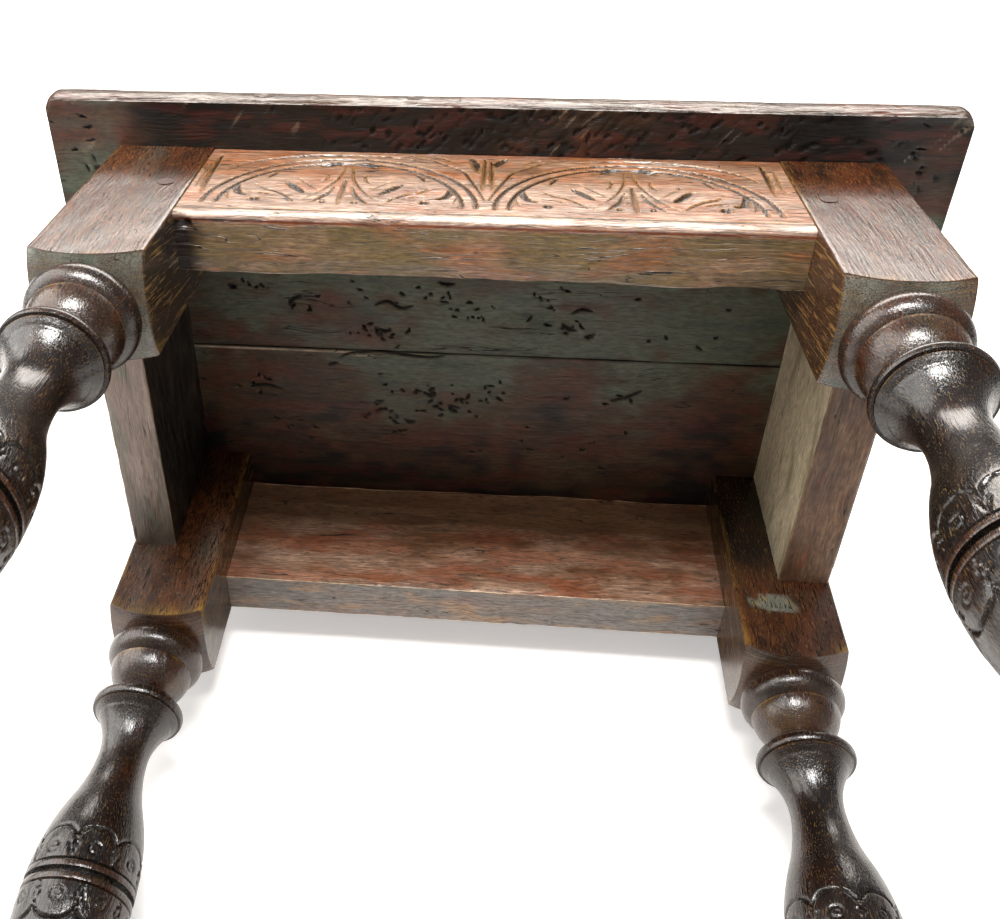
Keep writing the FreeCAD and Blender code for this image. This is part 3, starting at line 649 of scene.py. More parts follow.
INNER_ARCH = [(-38, 4), (-28, 9), (-20, 16), (-12, 24), (-9, 32), (-5, 45), (-1, 60)]
MIDDLE_CUTS = [
    (3.1, 1.4, [(-2.5, 5), (-2.2, 25), (-3, 48)]),
    (3.1, 1.4, [(0.8, 8), (1.2, 26), (2, 47)]),
    (5.5, 1.3, [(-9.5, 5), (-7, 14), (-5, 25)]),
    (5.5, 1.3, [(8.5, 5), (5, 10), (2.5, 16)]),
    (1.8, 0.9, [(-28, 3), (-22, 7), (-16, 12)]),
    (1.8, 0.9, [(27, 4), (21, 8), (15, 13)]),
    (3.9, 1.5, [(-136, 8), (-136.5, 36), (-135, 58)]),
    (3.4, 1.5, [(131.5, 5), (132.3, 25), (132, 46)]),
    (2.1, 1.0, [(-141, 20), (-139, 34), (-139.5, 52)]),
    (2.1, 1.0, [(137, 14), (136.5, 30), (136.5, 44)]),
]


def smooth_line(points, step=0.35):
    """Points close together on a curve through the given ones."""
    knots = np.array([points[0], *points, points[-1]], float)
    line = []
    for a, b, c, d in zip(knots[:-3], knots[1:-2], knots[2:-1], knots[3:]):
        t = np.linspace(0, 1, max(3, int(np.linalg.norm(c - b) / step)), endpoint=False)[:, None]
        line.append(0.5 * (2 * b + (c - a) * t + (2 * a - 5 * b + 4 * c - d) * t ** 2
                           + (3 * b - a - 3 * c + d) * t ** 3))
    return np.concatenate(line + [knots[-1:]])


def carve(depths, across, down, line, width, depth, taper=0.75):
    """Deepens the grid by one V-shaped cut that thins out towards its ends."""
    near = ((across > line[:, 0].min() - width) & (across < line[:, 0].max() + width)
            & (down > line[:, 1].min() - width) & (down < line[:, 1].max() + width))
    index = np.flatnonzero(near)
    if not len(index):
        return
    share = np.linspace(0, 1, len(line))
    swell = (1 - taper) + taper * np.sin(np.pi * np.clip(share, 0.02, 0.98)) ** 0.6
    best = np.zeros(len(index))
    for part in np.array_split(np.arange(len(line)), max(1, len(line) // 60)):
        gap = np.hypot(across[index, None] - line[None, part, 0], down[index, None] - line[None, part, 1])
        cut = depth * swell[part] * np.clip(1 - (gap / (width / 2 * swell[part])) ** 1.5, 0, 1)
        best = np.maximum(best, cut.max(axis=1))
    depths[index] = np.maximum(depths[index], best)


def carved_depths(across, down):
    """How deep the front rail is cut at each point of its face."""
    depths = np.zeros(len(across))
    for middle in LUNETTES:
        for rise, drop, sill, width, depth in ARCHES:
            turn = np.linspace(0, math.pi, 420)
            arch = np.stack([middle + rise * np.cos(turn), sill - drop * np.sin(turn)], 1)
            carve(depths, across, down, arch[arch[:, 1] < 70], width, depth, 0.1)
        for mirror in (-1, 1):
            for width, depth, points in LEAF_CUTS:
                line = smooth_line([(middle + mirror * x, v) for x, v in points])
                carve(depths, across, down, line, width, depth)
            for x, v, radius, depth in EYES:
                off = np.hypot(across - middle - mirror * x, down - v)
                eye = np.clip(1 - (off / radius) ** 2, 0, 1) * depth
                depths[:] = np.maximum(depths, eye)
        carve(depths, across, down, smooth_line([(middle, 38), (middle, 55), (middle, 70)]), 3.2, 1.4)
        rise, drop, sill, width, depth = OUTER_ARCH
        outer = -1 if middle < 0 else 1
        turn = np.linspace(0.12, math.pi / 2 + 0.5, 260)
        arch = np.stack([middle + outer * rise * np.cos(turn), sill - drop * np.sin(turn)], 1)
        carve(depths, across, down, arch, width, depth, 0.9)
        line = smooth_line([(-outer * x - 0.5, v) for x, v in INNER_ARCH])
        carve(depths, across, down, line, 2.1, 1.1, 0.3)
    for width, depth, points in MIDDLE_CUTS:
        carve(depths, across, down, smooth_line(points), width, depth)
    return depths


def section_points(corners):
    """Points round a closed section, from corners given as y, z, arris round and points to the next."""
    points, worn = [], []
    places = [np.array(corner[:2], float) for corner in corners]
    for i, (_, _, arris, count) in enumerate(corners):
        here, before, after = places[i], places[i - 1], places[(i + 1) % len(places)]
        to_before = (before - here) / np.linalg.norm(before - here)
        to_after = (after - here) / np.linalg.norm(after - here)
        for t in np.linspace(0, 1, 6):
            points.append(here + to_before * arris * (1 - t) ** 2 + to_after * arris * t ** 2)
            worn.append(math.sin(math.pi * t))
        start = here + to_after * arris
        end = after - to_after * corners[(i + 1) % len(corners)][2]
        for share in np.linspace(0, 1, count + 2)[1:-1]:
            points.append(start + (end - start) * share)
            worn.append(0.0)
    return np.array(points), np.array(worn)


def inwards(section):
    """Unit directions into the wood at each point of a section that runs round it."""
    run = np.roll(section, -1, axis=0) - np.roll(section, 1, axis=0)
    run /= np.maximum(np.linalg.norm(run, axis=1), 1e-9)[:, None]
    normal = np.stack([run[:, 1], -run[:, 0]], 1)
    middle = section.mean(axis=0)
    if ((middle - section) * normal).sum() < 0:
        normal = -normal
    return normal


def noise_over(x, y, z):
    """Noise over a grid of points: a function of its lumps' size, a seed and what it varies along."""
    flat = np.stack([x.reshape(-1), y.reshape(-1), z.reshape(-1)], 1)

    def noise(cell, seed, along=(1, 1, 1)):
        return value_noise(flat * along + BAR_NOISE_SHIFT, cell, seed).reshape(x.shape)

    return noise


def straight_half(depth):
    """Half the length between the legs, the same at every depth."""
    return BETWEEN_LEGS / 2 + depth * 0


def swept_bar(name, section, worn, stations, half_length, depth_at, material, node, place, seed, sharp=40):
    """A bar along X: the section at each station, pressed in by depth_at, with its ends closed."""
    across, section_index = np.meshgrid(stations, np.arange(len(section)), indexing="ij")
    normal = inwards(section)
    y = section[section_index, 0]
    z = section[section_index, 1]
    x = across * half_length(-z)
    press, cuts, wear, stain = depth_at(x, y, z, np.broadcast_to(worn, x.shape))
    layers = {"worn": wear.ravel(), "cut": cuts.ravel(), "stain": stain.ravel()}
    points = np.stack([x, y + normal[section_index, 0] * press, z + normal[section_index, 1] * press], -1)
    make_piece(name, points.reshape(-1, 3), skin(points), layers, material, [node], "X", seed,
               sharp=sharp, place=place)


lean = math.tan(RAKE)
face = RAIL_SET_BACK
inner = RAIL_SET_BACK + FRONT_RAIL_THICKNESS
front_section, front_worn = section_points([
    (face, face * lean, 0.05, 146), (face, -FRONT_RAIL_HEIGHT, RAIL_BEAD_ROUND, 26),
    (inner, -FRONT_RAIL_HEIGHT, 1.8, 10), (inner, inner * lean, 0.05, 4)])


def front_rail_depths(x, y, z, worn):
    """How far the front rail is pressed in, and its layers: carved (cut), with painted shade in the cuts, worn,
    and stained, with painted shade under the top.
    """
    noise = noise_over(x, y, z)
    on_face = (y < face + 0.3)
    depths = np.zeros(x.shape)
    depths[on_face] = carved_depths(x[on_face], -z[on_face])
    line = np.clip(1 - (np.abs(-z - QUIRK_DOWN) / QUIRK_HALF_WIDTH) ** 1.5, 0, 1) * on_face
    broken = np.clip(0.9 + 0.5 * noise((14, 50, 50), 5), 0, 1)
    depths = np.maximum(depths, QUIRK_DEPTH * line * broken)
    # Painted shade in the cuts: the upper wall of each cut, which faces down, darkens towards black, as do the
    # bottoms of the deeper cuts and the line above the bead.
    fall = (np.roll(depths, -2, axis=1) - np.roll(depths, 2, axis=1)) * np.sign(z[0, 10] - z[0, 12])
    shaded = 0.42 + 0.6 * np.clip(fall / 0.3, 0, 1) + 0.45 * np.clip((depths - 0.7) / 0.5, 0, 1)
    shaded = np.clip(depths / 0.3, 0, 1) * shaded * on_face
    shaded = np.maximum(shaded * (line == 0), np.clip(2.4 * line * broken - 0.4, 0, 1))
    hand = 0.22 * np.abs(noise((22, 9, 9), 6)) + 0.10 * np.abs(noise((6, 2, 2), 7))
    wave = noise((26, 9, 9), 8, (1, 0, 0)) + 0.5 * noise((9, 9, 9), 9, (1, 0, 0))
    wavy = (1.3 + wave) * np.clip((y - face - 22) / 9, 0, 1) * np.clip((-z - 55) / 29, 0, 1)
    nicks = 0.5 * np.clip(noise((5, 3, 3), 10) - 0.2, 0, 1) * worn
    chip = np.clip(1 - ((x - CHIP_PLACE) / 6) ** 2, 0, 1) * np.clip(1 - ((y - 6) / 3) ** 2, 0, 1) * (z < -70)
    chip *= np.clip(1 + 0.8 * noise((5, 2, 5), 13), 0, 2)
    press = CARVING_PRESS * depths + 2.2 * chip + hand * 0.6 + nicks + wavy * (y > face + 22)
    bead = np.exp(-((-z - BEAD_DOWN) / 1.7) ** 2) * (y < face + 3)
    border = 0.3 * ((-z > 71.5) & (-z < 76.8) & on_face) + 0.5 * ((-z > 78.8) & on_face)
    border = border + 0.45 * worn * (y > 20)
    lower = (z < -FRONT_RAIL_HEIGHT + 1.5) & (y > 5.5)
    red_line = 1.2 * np.exp(-((y - 4.4) / 1.2) ** 2) * (z < -82)
    # The lower face darkens towards its left end, by the left leg.
    darker_left_end = 0.8 * lower * np.clip((-x - 124) / 14, 0, 1)
    # Painted shade: the face is stained darker and redder over its top 16 mm, under the overhang of the top.
    grime = 0.4 * np.clip((16 + z) / 16, 0, 1) * on_face
    stain = 1.5 * chip + red_line + grime - 0.75 * lower + 0.2 * noise((50, 20, 20), 11)
    return press, shaded, np.maximum(worn * 0.8, np.maximum(bead, border)) - darker_left_end, stain


# Carved and waxed oak: reddish, with a pale face whose pale tones are partly wear and partly a
# painted sheen of the wax; brown down the sides of the cuts and nearly black at their bottoms and
# upper walls, which is painted shade.
carved_oak = aged_oak("carved_waxed_oak", dark="#5A3722", middle="#98704F", light="#BC9A82", pore="#180C06",
                      worn_tone="#DCC6B8", grime="#1A0E08", cut_tone="#8E6638", stained="#7A3814",
                      bare="#74603C", bare_cool="#8A5C38", warm="#B0622E", warmth=0.45, shine=(0.34, 0.46),
                      wax=1.0, wax_rough=0.24, wax_bump=0.8, wax_ior=1.6, open_pores=0.35, pore_size=0.7,
                      pore_length=16.0, line_size=1.3, ribs=0.26, crackle=0.44)
swept_bar("front_rail_carved", front_section, front_worn, np.linspace(-1, 1, CARVED_COLUMNS),
          straight_half, front_rail_depths, carved_oak, "front_rail", frame_place(False), 31,
          sharp=55)

# The back rail: the same joint between the back legs, plain. Its inner face keeps the overlapping
# scoops of the adze that thinned the riven board, and was never waxed as smooth as the outside.
BACK_RAIL_HEIGHT = 81.5
BACK_RAIL_THICKNESS = 27.5
SCOOP_ROWS = 5
SCOOP_LENGTH = 40.0
SCOOP_ROW_STEP = 15.5
inner = RAIL_SET_BACK + BACK_RAIL_THICKNESS
back_section, back_worn = section_points([
    (face, face * lean, 0.05, 14), (face, -BACK_RAIL_HEIGHT, 1.6, 18),
    (inner, -BACK_RAIL_HEIGHT, 1.2, 84), (inner, inner * lean, 0.05, 6)])
scoops = []
scoop_random = np.random.default_rng(41)
for row in range(SCOOP_ROWS + 1):
    x = -BETWEEN_LEGS / 2 + scoop_random.uniform(-20, 0)
    while x < BETWEEN_LEGS / 2 + 20:
        scoops.append((x, 6 + row * SCOOP_ROW_STEP + scoop_random.uniform(-4, 4),
                       scoop_random.uniform(1.3, 2.3), scoop_random.uniform(0.75, 1.25),
                       scoop_random.uniform(-0.25, 0.05)))
        x += SCOOP_LENGTH * scoop_random.uniform(0.55, 1.0)


def back_rail_depths(x, y, z, worn):
    """How far the adze has scooped out the back rail, and its layers."""
    noise = noise_over(x, y, z)
    inside = y > inner - 0.2
    depths = np.zeros(x.shape)
    for middle, down, deep, wide, slant in scoops:
        off = -z - down - slant * (x - middle)
        bowl = deep - (x - middle) ** 2 / (620 * wide) - off ** 2 / (95 * wide)
        depths = np.maximum(depths, bowl * inside)
    hand = 0.25 * np.abs(noise((24, 9, 9), 16)) + 0.1 * np.abs(noise((5, 2, 2), 17))
    ridge = np.clip(0.5 - depths, 0, 0.5) * inside
    nicks = 0.8 * np.clip(noise((6, 3, 3), 10), 0, 1) * worn
    stain = np.clip((42 + z) / 26, 0, 0.75) * inside + 0.3 * noise((40, 9, 14), 12)
    stain -= 0.8 * (z < -BACK_RAIL_HEIGHT + 1)
    return depths + hand + nicks, depths * 0, np.maximum(worn * 1.5, ridge * 0.9), stain


# Oak left from the adze: red-brown hollows under thin wax, with paler ridges between them.
adzed_oak = aged_oak("adzed_oak", dark="#5A3A24", middle="#865E44", light="#B0907A", pore="#160B05",
                     worn_tone="#D8BC9C", grime="#1A0E08", cut_tone="#2A170E", stained="#8A6A50",
                     bare="#76706A", bare_cool="#9A7C5E", warm="#8C4A2E", warmth=0.6, shine=(0.34, 0.5),
                     wax=0.8, wax_rough=0.28, open_pores=0.6, pore_length=16.0, ribs=0.08)
swept_bar("back_rail_adzed", back_section, back_worn, np.linspace(-1, 1, 320),
          straight_half, back_rail_depths, adzed_oak, "back_rail", frame_place(True), 41)

# The side rails: upright boards between the front and back legs, a little unlike in thickness. The
# saw left their inner faces rough and furred, and only the outside was planed and waxed.
SIDE_RAIL_HEIGHT = 84.0
SIDE_RAIL_THICKNESS = {"left": 24.5, "right": 26.5}


def raked_half(depth):
    """Half the length between the front and back legs, which grows downwards with the rake."""
    return (FRAME_DEPTH / 2 - LEG_SIDE / math.cos(RAKE)) + math.tan(RAKE) * depth


def side_bar(name, side, corners, tone, seed, rough, node, inner_stain=0.0, lower_bare_and_sheen=0.0):
    """A bar along Y at one side of the frame; its section's y runs inwards from the outer face."""
    section, worn = section_points(corners)
    turn = Matrix.Rotation(math.pi / 2 * side, 4, "Z")
    place = Matrix.Translation((side * FRAME_WIDTH / 2 * MM, 0, STAND_HEIGHT * MM)) @ turn

    def depths(x, y, z, worn):
        noise = noise_over(x, y, z)
        hand = 0.3 * np.abs(noise((28, 9, 11), seed))
        fur = 0.35 * np.abs(noise((9, 1.6, 1.6), seed + 1))
        inside = np.clip((y - corners[0][0] - 6) / 6, 0, 1)
        nicks = 0.6 * np.clip(noise((6, 3, 3), seed + 2), 0, 1) * worn
        press = hand * 0.7 + fur * (0.2 + rough * inside) + nicks
        below = np.clip((corners[1][1] + 2.0 - z) / 1.5, 0, 1) * (y > corners[0][0] + 1)
        # The lower edge is bared to a pale tone that fades towards the back: partly the bare wood, partly a
        # painted sheen.
        towards_back = np.clip((side * x + 50) / 110, 0, 1)
        stained = inner_stain * np.clip((y - corners[2][0] + 1.5), 0, 1) * (1 - below)
        bared = lower_bare_and_sheen * below * (1 - 0.8 * towards_back)
        stain = stained - bared + 0.2 * noise((40, 9, 9), seed + 3)
        return press, np.zeros(x.shape), worn * 0.8, stain

    swept_bar(name, section, worn, np.linspace(-1, 1, 180), raked_half, depths, tone, node, place, seed)


# Oak furred by the saw: dry and dull, greyed to a pale yellow inside, which is partly painted light, and
# red-brown below.
sawn_oak = aged_oak("furred_sawn_oak", dark="#4E3626", middle="#785640", light="#98785E", pore="#20150C",
                    worn_tone="#97805E", grime="#1A0E08", cut_tone="#2A170E", stained="#0E0A07",
                    bare="#CABC9E", bare_cool="#9A8C6E", warm="#8E4E2E", warmth=0.6, shine=(0.4, 0.6),
                    wax=0.2, wax_rough=0.3, open_pores=0.3, pore_length=14.0, ribs=0.10)
# Planed oak: a cold dark grey-brown with little sheen, and black where it is stained.
planed_oak = aged_oak("planed_and_sawn_oak", dark="#30291F", middle="#48443A", light="#5A564A",
                      pore="#160D08", worn_tone="#97805E", grime="#1A0E08", cut_tone="#2A170E",
                      stained="#0E0A07", bare="#907E74", bare_cool="#807C70", warm="#7A5438", warmth=0.5,
                      mottle=0.12, shine=(0.36, 0.55), wax=0.3, wax_rough=0.25, open_pores=0.12,
                      pore_length=14.0)
# Each side rail: its oak, how black its inner face is (bare below 0), and how bare its lower edge.
# The right rail's bare, pale inner face is partly painted light, and the left rail's pale lower edge partly
# painted sheen.
for side, sign, oak, inner_stain, lower_bare_and_sheen in (
        ("left", -1, planed_oak, 0.95, 1.2), ("right", 1, sawn_oak, -1.4, -0.1)):
    inner = RAIL_SET_BACK + SIDE_RAIL_THICKNESS[side]
    side_bar(f"{side}_side_rail_board", sign, [
        (face, 0.0, 0.05, 30), (face, -SIDE_RAIL_HEIGHT, 1.5, 16), (inner, -SIDE_RAIL_HEIGHT, 0.9, 62),
        (inner, 0.0, 0.05, 6)], oak, 60 + sign * 7, 1.0, f"{side}_side_rail", inner_stain, lower_bare_and_sheen)

# The stretchers: four bars low down that box the legs together, planed on all sides and rounded
# along their upper edges by centuries of shoes.
STRETCHER_DEPTH_DOWN = 440.7
STRETCHER_HEIGHT = 40.0
STRETCHER_THICKNESS = 24.0
STRETCHER_SET_BACK = 5.0


def stretcher_corners(down):
    """Corners of a stretcher's section, with its upper edges that far down the frame."""
    near = STRETCHER_SET_BACK
    far = STRETCHER_SET_BACK + STRETCHER_THICKNESS
    low = -down - STRETCHER_HEIGHT
    return [(near, -down, 3.0, 20), (near, low, 1.4, 12), (far, low, 1.4, 20), (far, -down, 2.2, 12)]


section, worn = section_points(stretcher_corners(STRETCHER_DEPTH_DOWN))
for name, behind in (("front_stretcher", False), ("back_stretcher", True)):
    def bar_depths(x, y, z, worn):
        noise = noise_over(x, y, z)
        hand = 0.3 * np.abs(noise((28, 9, 9), 71 + behind))
        dents = 0.9 * np.clip(noise((9, 5, 5), 73 + behind) - 0.1, 0, 1) * worn
        top_rub = np.clip((z + STRETCHER_DEPTH_DOWN + 5) / 5, 0, 1)
        dip = 1.1 * top_rub * np.clip(0.6 + noise((60, 9, 9), 75, (1, 0, 0)), 0, 2)
        stain = 0.35 + 0.3 * noise((50, 12, 12), 77 + behind)
        return hand + dents + dip, dip * 0, np.maximum(worn * 0.7, top_rub * 0.5), stain

    swept_bar(name + "_bar", section, worn, np.linspace(-1, 1, 220), straight_half, bar_depths, planed_oak,
              name, frame_place(behind), 71 + behind)
for side, sign in (("left", -1), ("right", 1)):
    side_bar(f"{side}_side_stretcher_bar", sign, stretcher_corners(STRETCHER_DEPTH_DOWN * math.cos(RAKE)),
             planed_oak, 90 + sign * 7, 0.1, f"{side}_side_stretcher")

# The top: two wide boards, butted along their length and pegged down to the legs. The underside was
# left as it came, eaten by worm and torn by the saw, and the front edge is dented and rubbed.
UNDERSIDE = STAND_HEIGHT
TOP_THICKNESS = 21.0
TOP_HALF_LENGTH = 230.0
TOP_HALF_DEPTH = 150.0
BOARD_JOINT = -5.0
TOP_CORNER_ROUND = 6.0
UPPER_ROUND = 9.0
# The sides draw in a little towards the underside, over this height.
LOWER_DRAW_IN = 1.2
DRAW_IN_HEIGHT = 9.0
TEARS = 260
# Worm holes and torn pits of the underside: where a group lies, how far it spreads and how many.
PIT_GROUPS = [
    (-50, -42, 26, 6, 12), (-5, -36, 18, 9, 14), (-55, -18, 20, 6, 16), (33, -38, 14, 12, 12),
    (-130, -46, 10, 5, 5), (-105, -36, 10, 6, 5), (55, -24, 12, 6, 6), (-30, 22, 20, 9, 20),
    (-15, 32, 9, 8, 12), (-60, 38, 14, 8, 9),
    (-50, 47, 16, 6, 8), (-112, 52, 14, 8, 8), (5, 18, 14, 9, 9), (-135, 20, 12, 8, 6), (80, 20, 20, 6, 4),
    (30, 60, 60, 30, 10), (100, -30, 40, 20, 6), (205, -110, 16, 24, 22), (-205, -125, 20, 20, 14),
    (-214, -60, 10, 40, 14), (214, -20, 10, 60, 18), (-180, 60, 40, 60, 12), (190, 90, 30, 50, 14),
]
# The largest pits: place, half length, half width and slant. Then the cracks, as points along each.
BIG_PITS = [
    (-142, -44, 2.8, 1.6, 0.2), (60, -20, 3.4, 1.5, -0.4), (-29, 25, 2.8, 1.5, 0.3), (-41, 45, 3.0, 1.4, 0.1),
    (-16, 35, 3.2, 1.6, 0.7), (47, -25, 4.4, 1.2, 0.5), (-21, -50, 5.0, 1.2, 0.1), (-57, -19, 5.5, 1.3, 0.2),
]
CRACKS = [
    [(-61, -35), (-54, -38), (-46, -34), (-39, -36)], [(49, -34), (54, -37), (60, -36)],
    [(-102, -40), (-109, -36), (-108, -30)], [(-138, 24), (-128, 22), (-118, 25)], [(76, 23), (85, 20), (93, 15)],
    [(-82, 0), (-74, -3), (-56, -4.2), (-32, -2), (-20, -4)], [(-89, 6), (-84, 4)],
]


def board_stations(*runs):
    """Places along a board, from runs of start, end and spacing."""
    places = [np.arange(start, end, spacing) for start, end, spacing in runs]
    return np.concatenate(places + [[runs[-1][1]]])


def underside_marks(x, y, random, front):
    """How deep the pits, cracks and tears of the underside are at each of its points."""
    depth = np.zeros(x.shape)
    pits = list(BIG_PITS)
    for px, py, spread_x, spread_y, count in PIT_GROUPS:
        for _ in range(count):
            pits.append((px + random.normal() * spread_x * 0.6, py + random.normal() * spread_y * 0.6,
                         random.uniform(0.9, 2.6), random.uniform(0.4, 0.95), random.normal() * 0.7))
    for px, py, long, wide, angle in pits:
        near = (np.abs(x - px) < long + 1) & (np.abs(y - py) < long + 1)
        if not near.any():
            continue
        along = (x[near] - px) * math.cos(angle) + (y[near] - py) * math.sin(angle)
        off = (y[near] - py) * math.cos(angle) - (x[near] - px) * math.sin(angle)
        off = off + 0.25 * along ** 2 / long
        bowl = 1.7 * np.clip(1 - (along / long) ** 2 - (off / wide) ** 2, 0, 1) ** 0.5
        depth[near] = np.maximum(depth[near], bowl)
    flat_x, flat_y, flat = x.reshape(-1), y.reshape(-1), depth.reshape(-1)
    for crack in CRACKS:
        carve(flat, flat_x, flat_y, smooth_line(crack), 2.4, 1.6, 0.6)
    if front:
        for tear_index in range(TEARS):
            thin = tear_index % 2
            px, py = 40 + random.normal() * 75, random.uniform(-148, -124)
            turn = random.normal() * 0.25 - 0.85
            long = random.uniform(5, 18) if thin else random.uniform(2, 6)
            middle = (px + long / 2 * math.cos(turn), py + long / 2 * math.sin(turn) + random.normal() * 0.4)
            tear = [(px, py), middle, (px + long * math.cos(turn), py + long * math.sin(turn))]
            carve(flat, flat_x, flat_y, smooth_line(tear), 1.5 if thin else random.uniform(1.6, 3.4),
                  random.uniform(0.3, 0.8) if thin else random.uniform(0.6, 1.6), 0.8)
    return depth


def board_mesh(front, stations_y, seed):
    """Points, faces, layers and count of underside faces of one board, square only at the joint."""
    stations_x = board_stations((-TOP_HALF_LENGTH, -150, 1.5), (-150, 150, 0.95), (150, TOP_HALF_LENGTH, 1.5))
    x, y = np.meshgrid(stations_x, stations_y, indexing="ij")
    outer = -1 if front else 1

    def rounded(x, y, inset):
        """The plan drawn in by inset at its outer sides, with its two outer corners rounded."""
        share_x = x / TOP_HALF_LENGTH
        share_y = (y - BOARD_JOINT) / (outer * TOP_HALF_DEPTH - BOARD_JOINT)
        px = share_x * (TOP_HALF_LENGTH - inset)
        py = BOARD_JOINT + share_y * (outer * (TOP_HALF_DEPTH - inset) - BOARD_JOINT)
        corner = max(TOP_CORNER_ROUND - inset * 0.3, 2.0)
        cx = TOP_HALF_LENGTH - inset - corner
        cy = TOP_HALF_DEPTH - inset - corner
        u = np.clip(np.abs(px) - cx, 0, None)
        v = np.clip(outer * py - cy, 0, None)
        scale = np.where((u > 0) & (v > 0), np.maximum(u, v) / np.maximum(np.hypot(u, v), 1e-9), 1.0)
        px = np.where(u * v > 0, np.sign(px) * (cx + u * scale), px)
        py = np.where(u * v > 0, outer * (cy + v * scale), py)
        return px, py

    random = np.random.default_rng(seed)
    px, py = rounded(x, y, LOWER_DRAW_IN)
    marks = underside_marks(px, py, random, front)
    flat = np.stack([px.reshape(-1), py.reshape(-1), px.reshape(-1) * 0], 1)
    noise = noise_over(px, py, px * 0)
    hand = 0.45 * (1 + noise((40, 26, 9), seed)) / 2 + 0.12 * (1 + noise((7, 3, 9), seed + 1))
    rim = np.minimum(np.abs(np.abs(px) - TOP_HALF_LENGTH + LOWER_DRAW_IN),
                     np.abs(outer * py - TOP_HALF_DEPTH + LOWER_DRAW_IN))
    edge_fade = np.clip(rim / 3, 0, 1)
    to_joint = np.abs(py - BOARD_JOINT)
    seam = np.clip(1 - to_joint / 0.8, 0, 1) * (0.75 + 0.25 * noise((11, 9, 9), 77, (1, 0, 0)))
    press = hand * edge_fade + marks * np.clip(rim / 1.5, 0.25, 1) + 0.9 * seam
    points = [np.stack([px, py, UNDERSIDE + press], -1).reshape(-1, 3)]
    cuts = [np.clip(marks + 1.2 * seam, 0, 1).reshape(-1)]
    cloud = (noise((45, 24, 9), seed + 9) * 0.65 + noise((11, 7, 9), seed + 10) * 0.4).reshape(-1)
    # The stain across the underside's depth: dark over the front overhang, bare in the middle, and blacker again
    # towards the back rail, partly dirt and partly painted shade where the underside meets that rail.
    shelf = np.interp(flat[:, 1], [-150, -146, -122, -90, -5, 30, 60, 95, 150],
                      [0.5, 1.15, 1.15, -0.7, -0.75, -0.15, 0.15, 0.9, 0.6])
    ends = np.clip((np.abs(flat[:, 0] + 12) - 160) / 25, 0, 1) * np.where(flat[:, 0] < 0, -1.6, 0.0)
    stain = [shelf + cloud + ends * (flat[:, 1] < -100)]
    gold = np.exp(-((to_joint - 1.6) / 0.8) ** 2) * (not front) * np.clip(-px / 60, 0.2, 1)
    gold = gold + 1.4 * np.clip(1 - ((px + 70) / 9) ** 2 - ((py + 1.5) / 1.3) ** 2, 0, 1)
    slanted = noise_over(flat[:, 0] * 0.62 - flat[:, 1] * 0.78, flat[:, 0] * 0.78 + flat[:, 1] * 0.62, flat[:, 2])
    scratches = np.clip((slanted((15, 1.9, 9), seed + 13) - 0.42) / 0.3, 0, 1)
    scratches *= np.clip(0.5 + 1.6 * noise((26, 20, 9), seed + 14).reshape(-1), 0, 1) * (flat[:, 1] < -118)
    wear = [(0.25 * np.exp(-rim / 1.5) + gold).reshape(-1) + 0.5 * scratches]
    nx, ny = px.shape
    index = np.arange(nx * ny).reshape(nx, ny)
    faces = np.stack([index[:-1, :-1], index[:-1, 1:], index[1:, 1:], index[1:, :-1]], -1)
    faces = faces.reshape(-1, 4).tolist()
    loop = np.concatenate([index[:-1, 0], index[-1, :-1], index[:0:-1, -1], index[0, :0:-1]])
    ring_x, ring_y = x.reshape(-1)[loop], y.reshape(-1)[loop]
    layers = [(LOWER_DRAW_IN * (1 - height / DRAW_IN_HEIGHT) ** 2, height, 0.03 * height)
              for height in np.linspace(0.5, DRAW_IN_HEIGHT, 10)]
    # The upper rounding of the edge is worn pale most where it faces up and out: partly wear and partly a painted
    # sheen.
    for t in np.linspace(0.12, math.pi / 2, 12):
        height = TOP_THICKNESS - UPPER_ROUND * (1 - math.sin(t))
        layers.append((UPPER_ROUND * (1 - math.cos(t)), height, 0.2 + 0.35 * math.sin(2 * t)))
    previous = loop
    start = nx * ny
    for inset, height, worn in layers:
        lx, ly = rounded(ring_x, ring_y, inset)
        level = lx * 0 + height
        noise = noise_over(lx, ly, level)
        outward = np.where(np.abs(ring_x) >= TOP_HALF_LENGTH - 1e-6, 1.0, 0.0)
        dent = 0.35 * np.clip(noise((30, 30, 5), seed + 5) + 0.4, 0, 2)
        dent += 0.8 * np.clip(noise((7, 7, 3), seed + 6) - 0.35, 0, 1)
        dent *= np.clip((TOP_THICKNESS - height) / 2, 0, 1)
        lx = lx - np.sign(lx) * dent * outward
        ly = np.where(outer * ring_y >= TOP_HALF_DEPTH - 1e-6, ly - outer * dent, ly)
        points.append(np.stack([lx, ly, UNDERSIDE + level], 1))
        cuts.append(np.zeros(len(lx)))
        stain.append(0.8 * math.exp(-height / 3.5) + 0.2 * noise((40, 40, 9), seed + 11))
        wear.append(worn * np.clip(0.6 + noise((18, 18, 4), seed + 7), 0, 1.4))
        ring = start + np.arange(len(loop))
        after = np.roll(ring, -1)
        before = np.roll(previous, -1)
        faces += np.stack([previous, before, after, ring], -1).tolist()
        previous = ring
        start += len(loop)
    top_x = np.linspace(-TOP_HALF_LENGTH, TOP_HALF_LENGTH, 150)
    top_y = np.linspace(BOARD_JOINT, outer * TOP_HALF_DEPTH, 50)
    gx, gy = rounded(*np.meshgrid(top_x, top_y, indexing="ij"), UPPER_ROUND)
    noise = noise_over(gx, gy, gx * 0)
    sag = 0.5 * (1 + noise((60, 24, 9), seed + 8))
    inside = np.minimum(TOP_HALF_LENGTH - UPPER_ROUND - np.abs(gx),
                        outer * (outer * (TOP_HALF_DEPTH - UPPER_ROUND) - gy))
    inside = np.minimum(inside, np.abs(gy - BOARD_JOINT))
    sag *= np.clip(inside / 14, 0, 1)
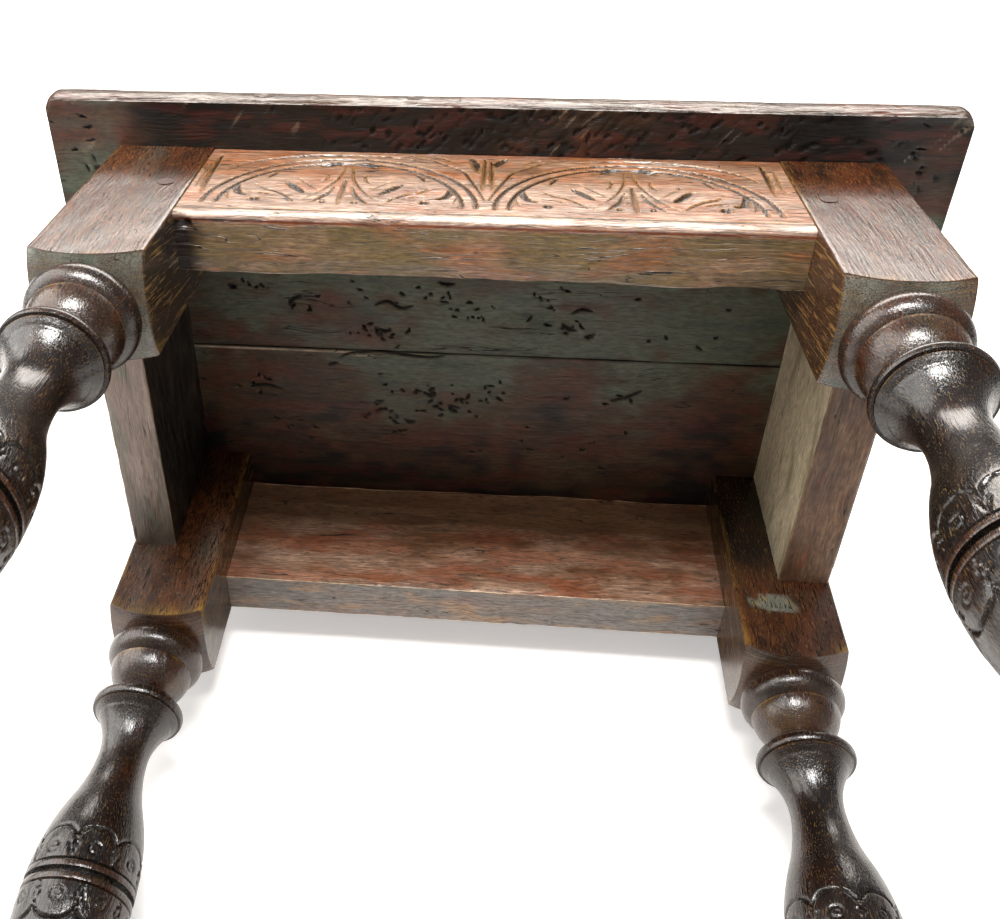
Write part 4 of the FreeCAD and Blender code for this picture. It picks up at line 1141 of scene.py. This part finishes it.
    points.append(np.stack([gx, gy, UNDERSIDE + TOP_THICKNESS - sag], -1).reshape(-1, 3))
    cuts.append(np.zeros(gx.size))
    stain.append(0.1 + 0.4 * noise((70, 30, 9), seed + 12).reshape(-1))
    wear.append(np.full(gx.size, 0.1))
    index = start + np.arange(gx.size).reshape(gx.shape)
    upper_face = np.stack([index[:-1, :-1], index[1:, :-1], index[1:, 1:], index[:-1, 1:]], -1)
    faces += upper_face.reshape(-1, 4).tolist()
    layers = {"worn": np.concatenate(wear), "cut": np.concatenate(cuts), "stain": np.concatenate(stain)}
    return np.concatenate(points), faces, layers, (nx - 1) * (ny - 1)


# Boards polished by use at their edges and on top: dark, with a clear sheen of wax.
board_look = dict(dark="#33200F", middle="#4A3018", light="#554330", pore="#0C0705", worn_tone="#BCA890",
                  grime="#17100B", cut_tone="#080503", stained="#0B0603", stained_warm="#38120A",
                  bare="#4F5444", bare_cool="#3E483C", warm="#5A2412", warmth=0.6, figure=1.6,
                  open_pores=0.2, line_size=1.2, ribs=0.10)
board_oak = aged_oak("weathered_top_oak", shine=(0.38, 0.55), wax=1.0, wax_rough=0.12, wax_ior=1.5, **board_look)
# The underside of the same boards, never polished: dull, patched with red and grey-green.
dry_oak = aged_oak("dry_underside_oak", shine=(0.5, 0.66), wax=0.35, wax_rough=0.3, **board_look)
for name, front, runs, seed in (
        ("top_front_board", True,
         [(-TOP_HALF_DEPTH, -122, 0.9), (-122, -96, 3.0), (-96, BOARD_JOINT, 0.85)], 201),
        ("top_back_board", False,
         [(BOARD_JOINT, 96, 0.85), (96, 122, 3.0), (122, TOP_HALF_DEPTH, 1.5)], 301)):
    points, faces, layers, dry_faces = board_mesh(front, board_stations(*runs), seed)
    piece = make_piece(name + "_sawn", points, faces, layers, board_oak, [name], "X", seed, sharp=50)
    piece.data.materials.append(dry_oak)
    piece.data.polygons.foreach_set("material_index", [int(face < dry_faces) for face in range(len(faces))])

# The pegs: split oak pins, driven through each joint and pared off, so that end grain shows. They
# hold the frame without glue and keep the joiner's own solids here.
# End grain shows as dark and light specks a little under a millimetre wide, under thin wax.
peg_oak, tree = new_material("split_oak_end_grain")
place = add(tree, "TexCoord")
in_mm = add(tree, "VectorMath", {0: place.outputs["Object"], "Scale": 1000}, operation="SCALE")
speck = add(tree, "TexNoise", {"Vector": in_mm, "Scale": 1.4, "Detail": 3.0})
cloud = add(tree, "TexNoise", {"Vector": in_mm, "Scale": 0.25, "Detail": 2.0})
shade = add(tree, "MapRange", {0: speck, 1: 0.4, 2: 0.62})
stain = add(tree, "MapRange", {0: cloud, 1: 0.4, 2: 0.65, 3: 0.0, 4: 0.6})
tone = linear("#2C170E")
for share, over in ((shade, "#5A3824"), (stain, "#140A06")):
    tone = add(tree, "Mix", {0: share, 6: tone, 7: linear(over)}, data_type="RGBA").outputs[2]
bump = add(tree, "Bump", {"Height": speck, "Distance": 0.0004, "Strength": 0.8})
wood = add(tree, "BsdfPrincipled", {"Base Color": tone, "Roughness": 0.42, "IOR": 1.5, "Normal": bump,
                                    "Coat Weight": 0.25, "Coat Roughness": 0.2})
add(tree, "OutputMaterial", {"Surface": wood})
for name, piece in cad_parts.items():
    if name.endswith("_pegs"):
        piece.data.materials.clear()
        piece.data.materials.append(peg_oak)
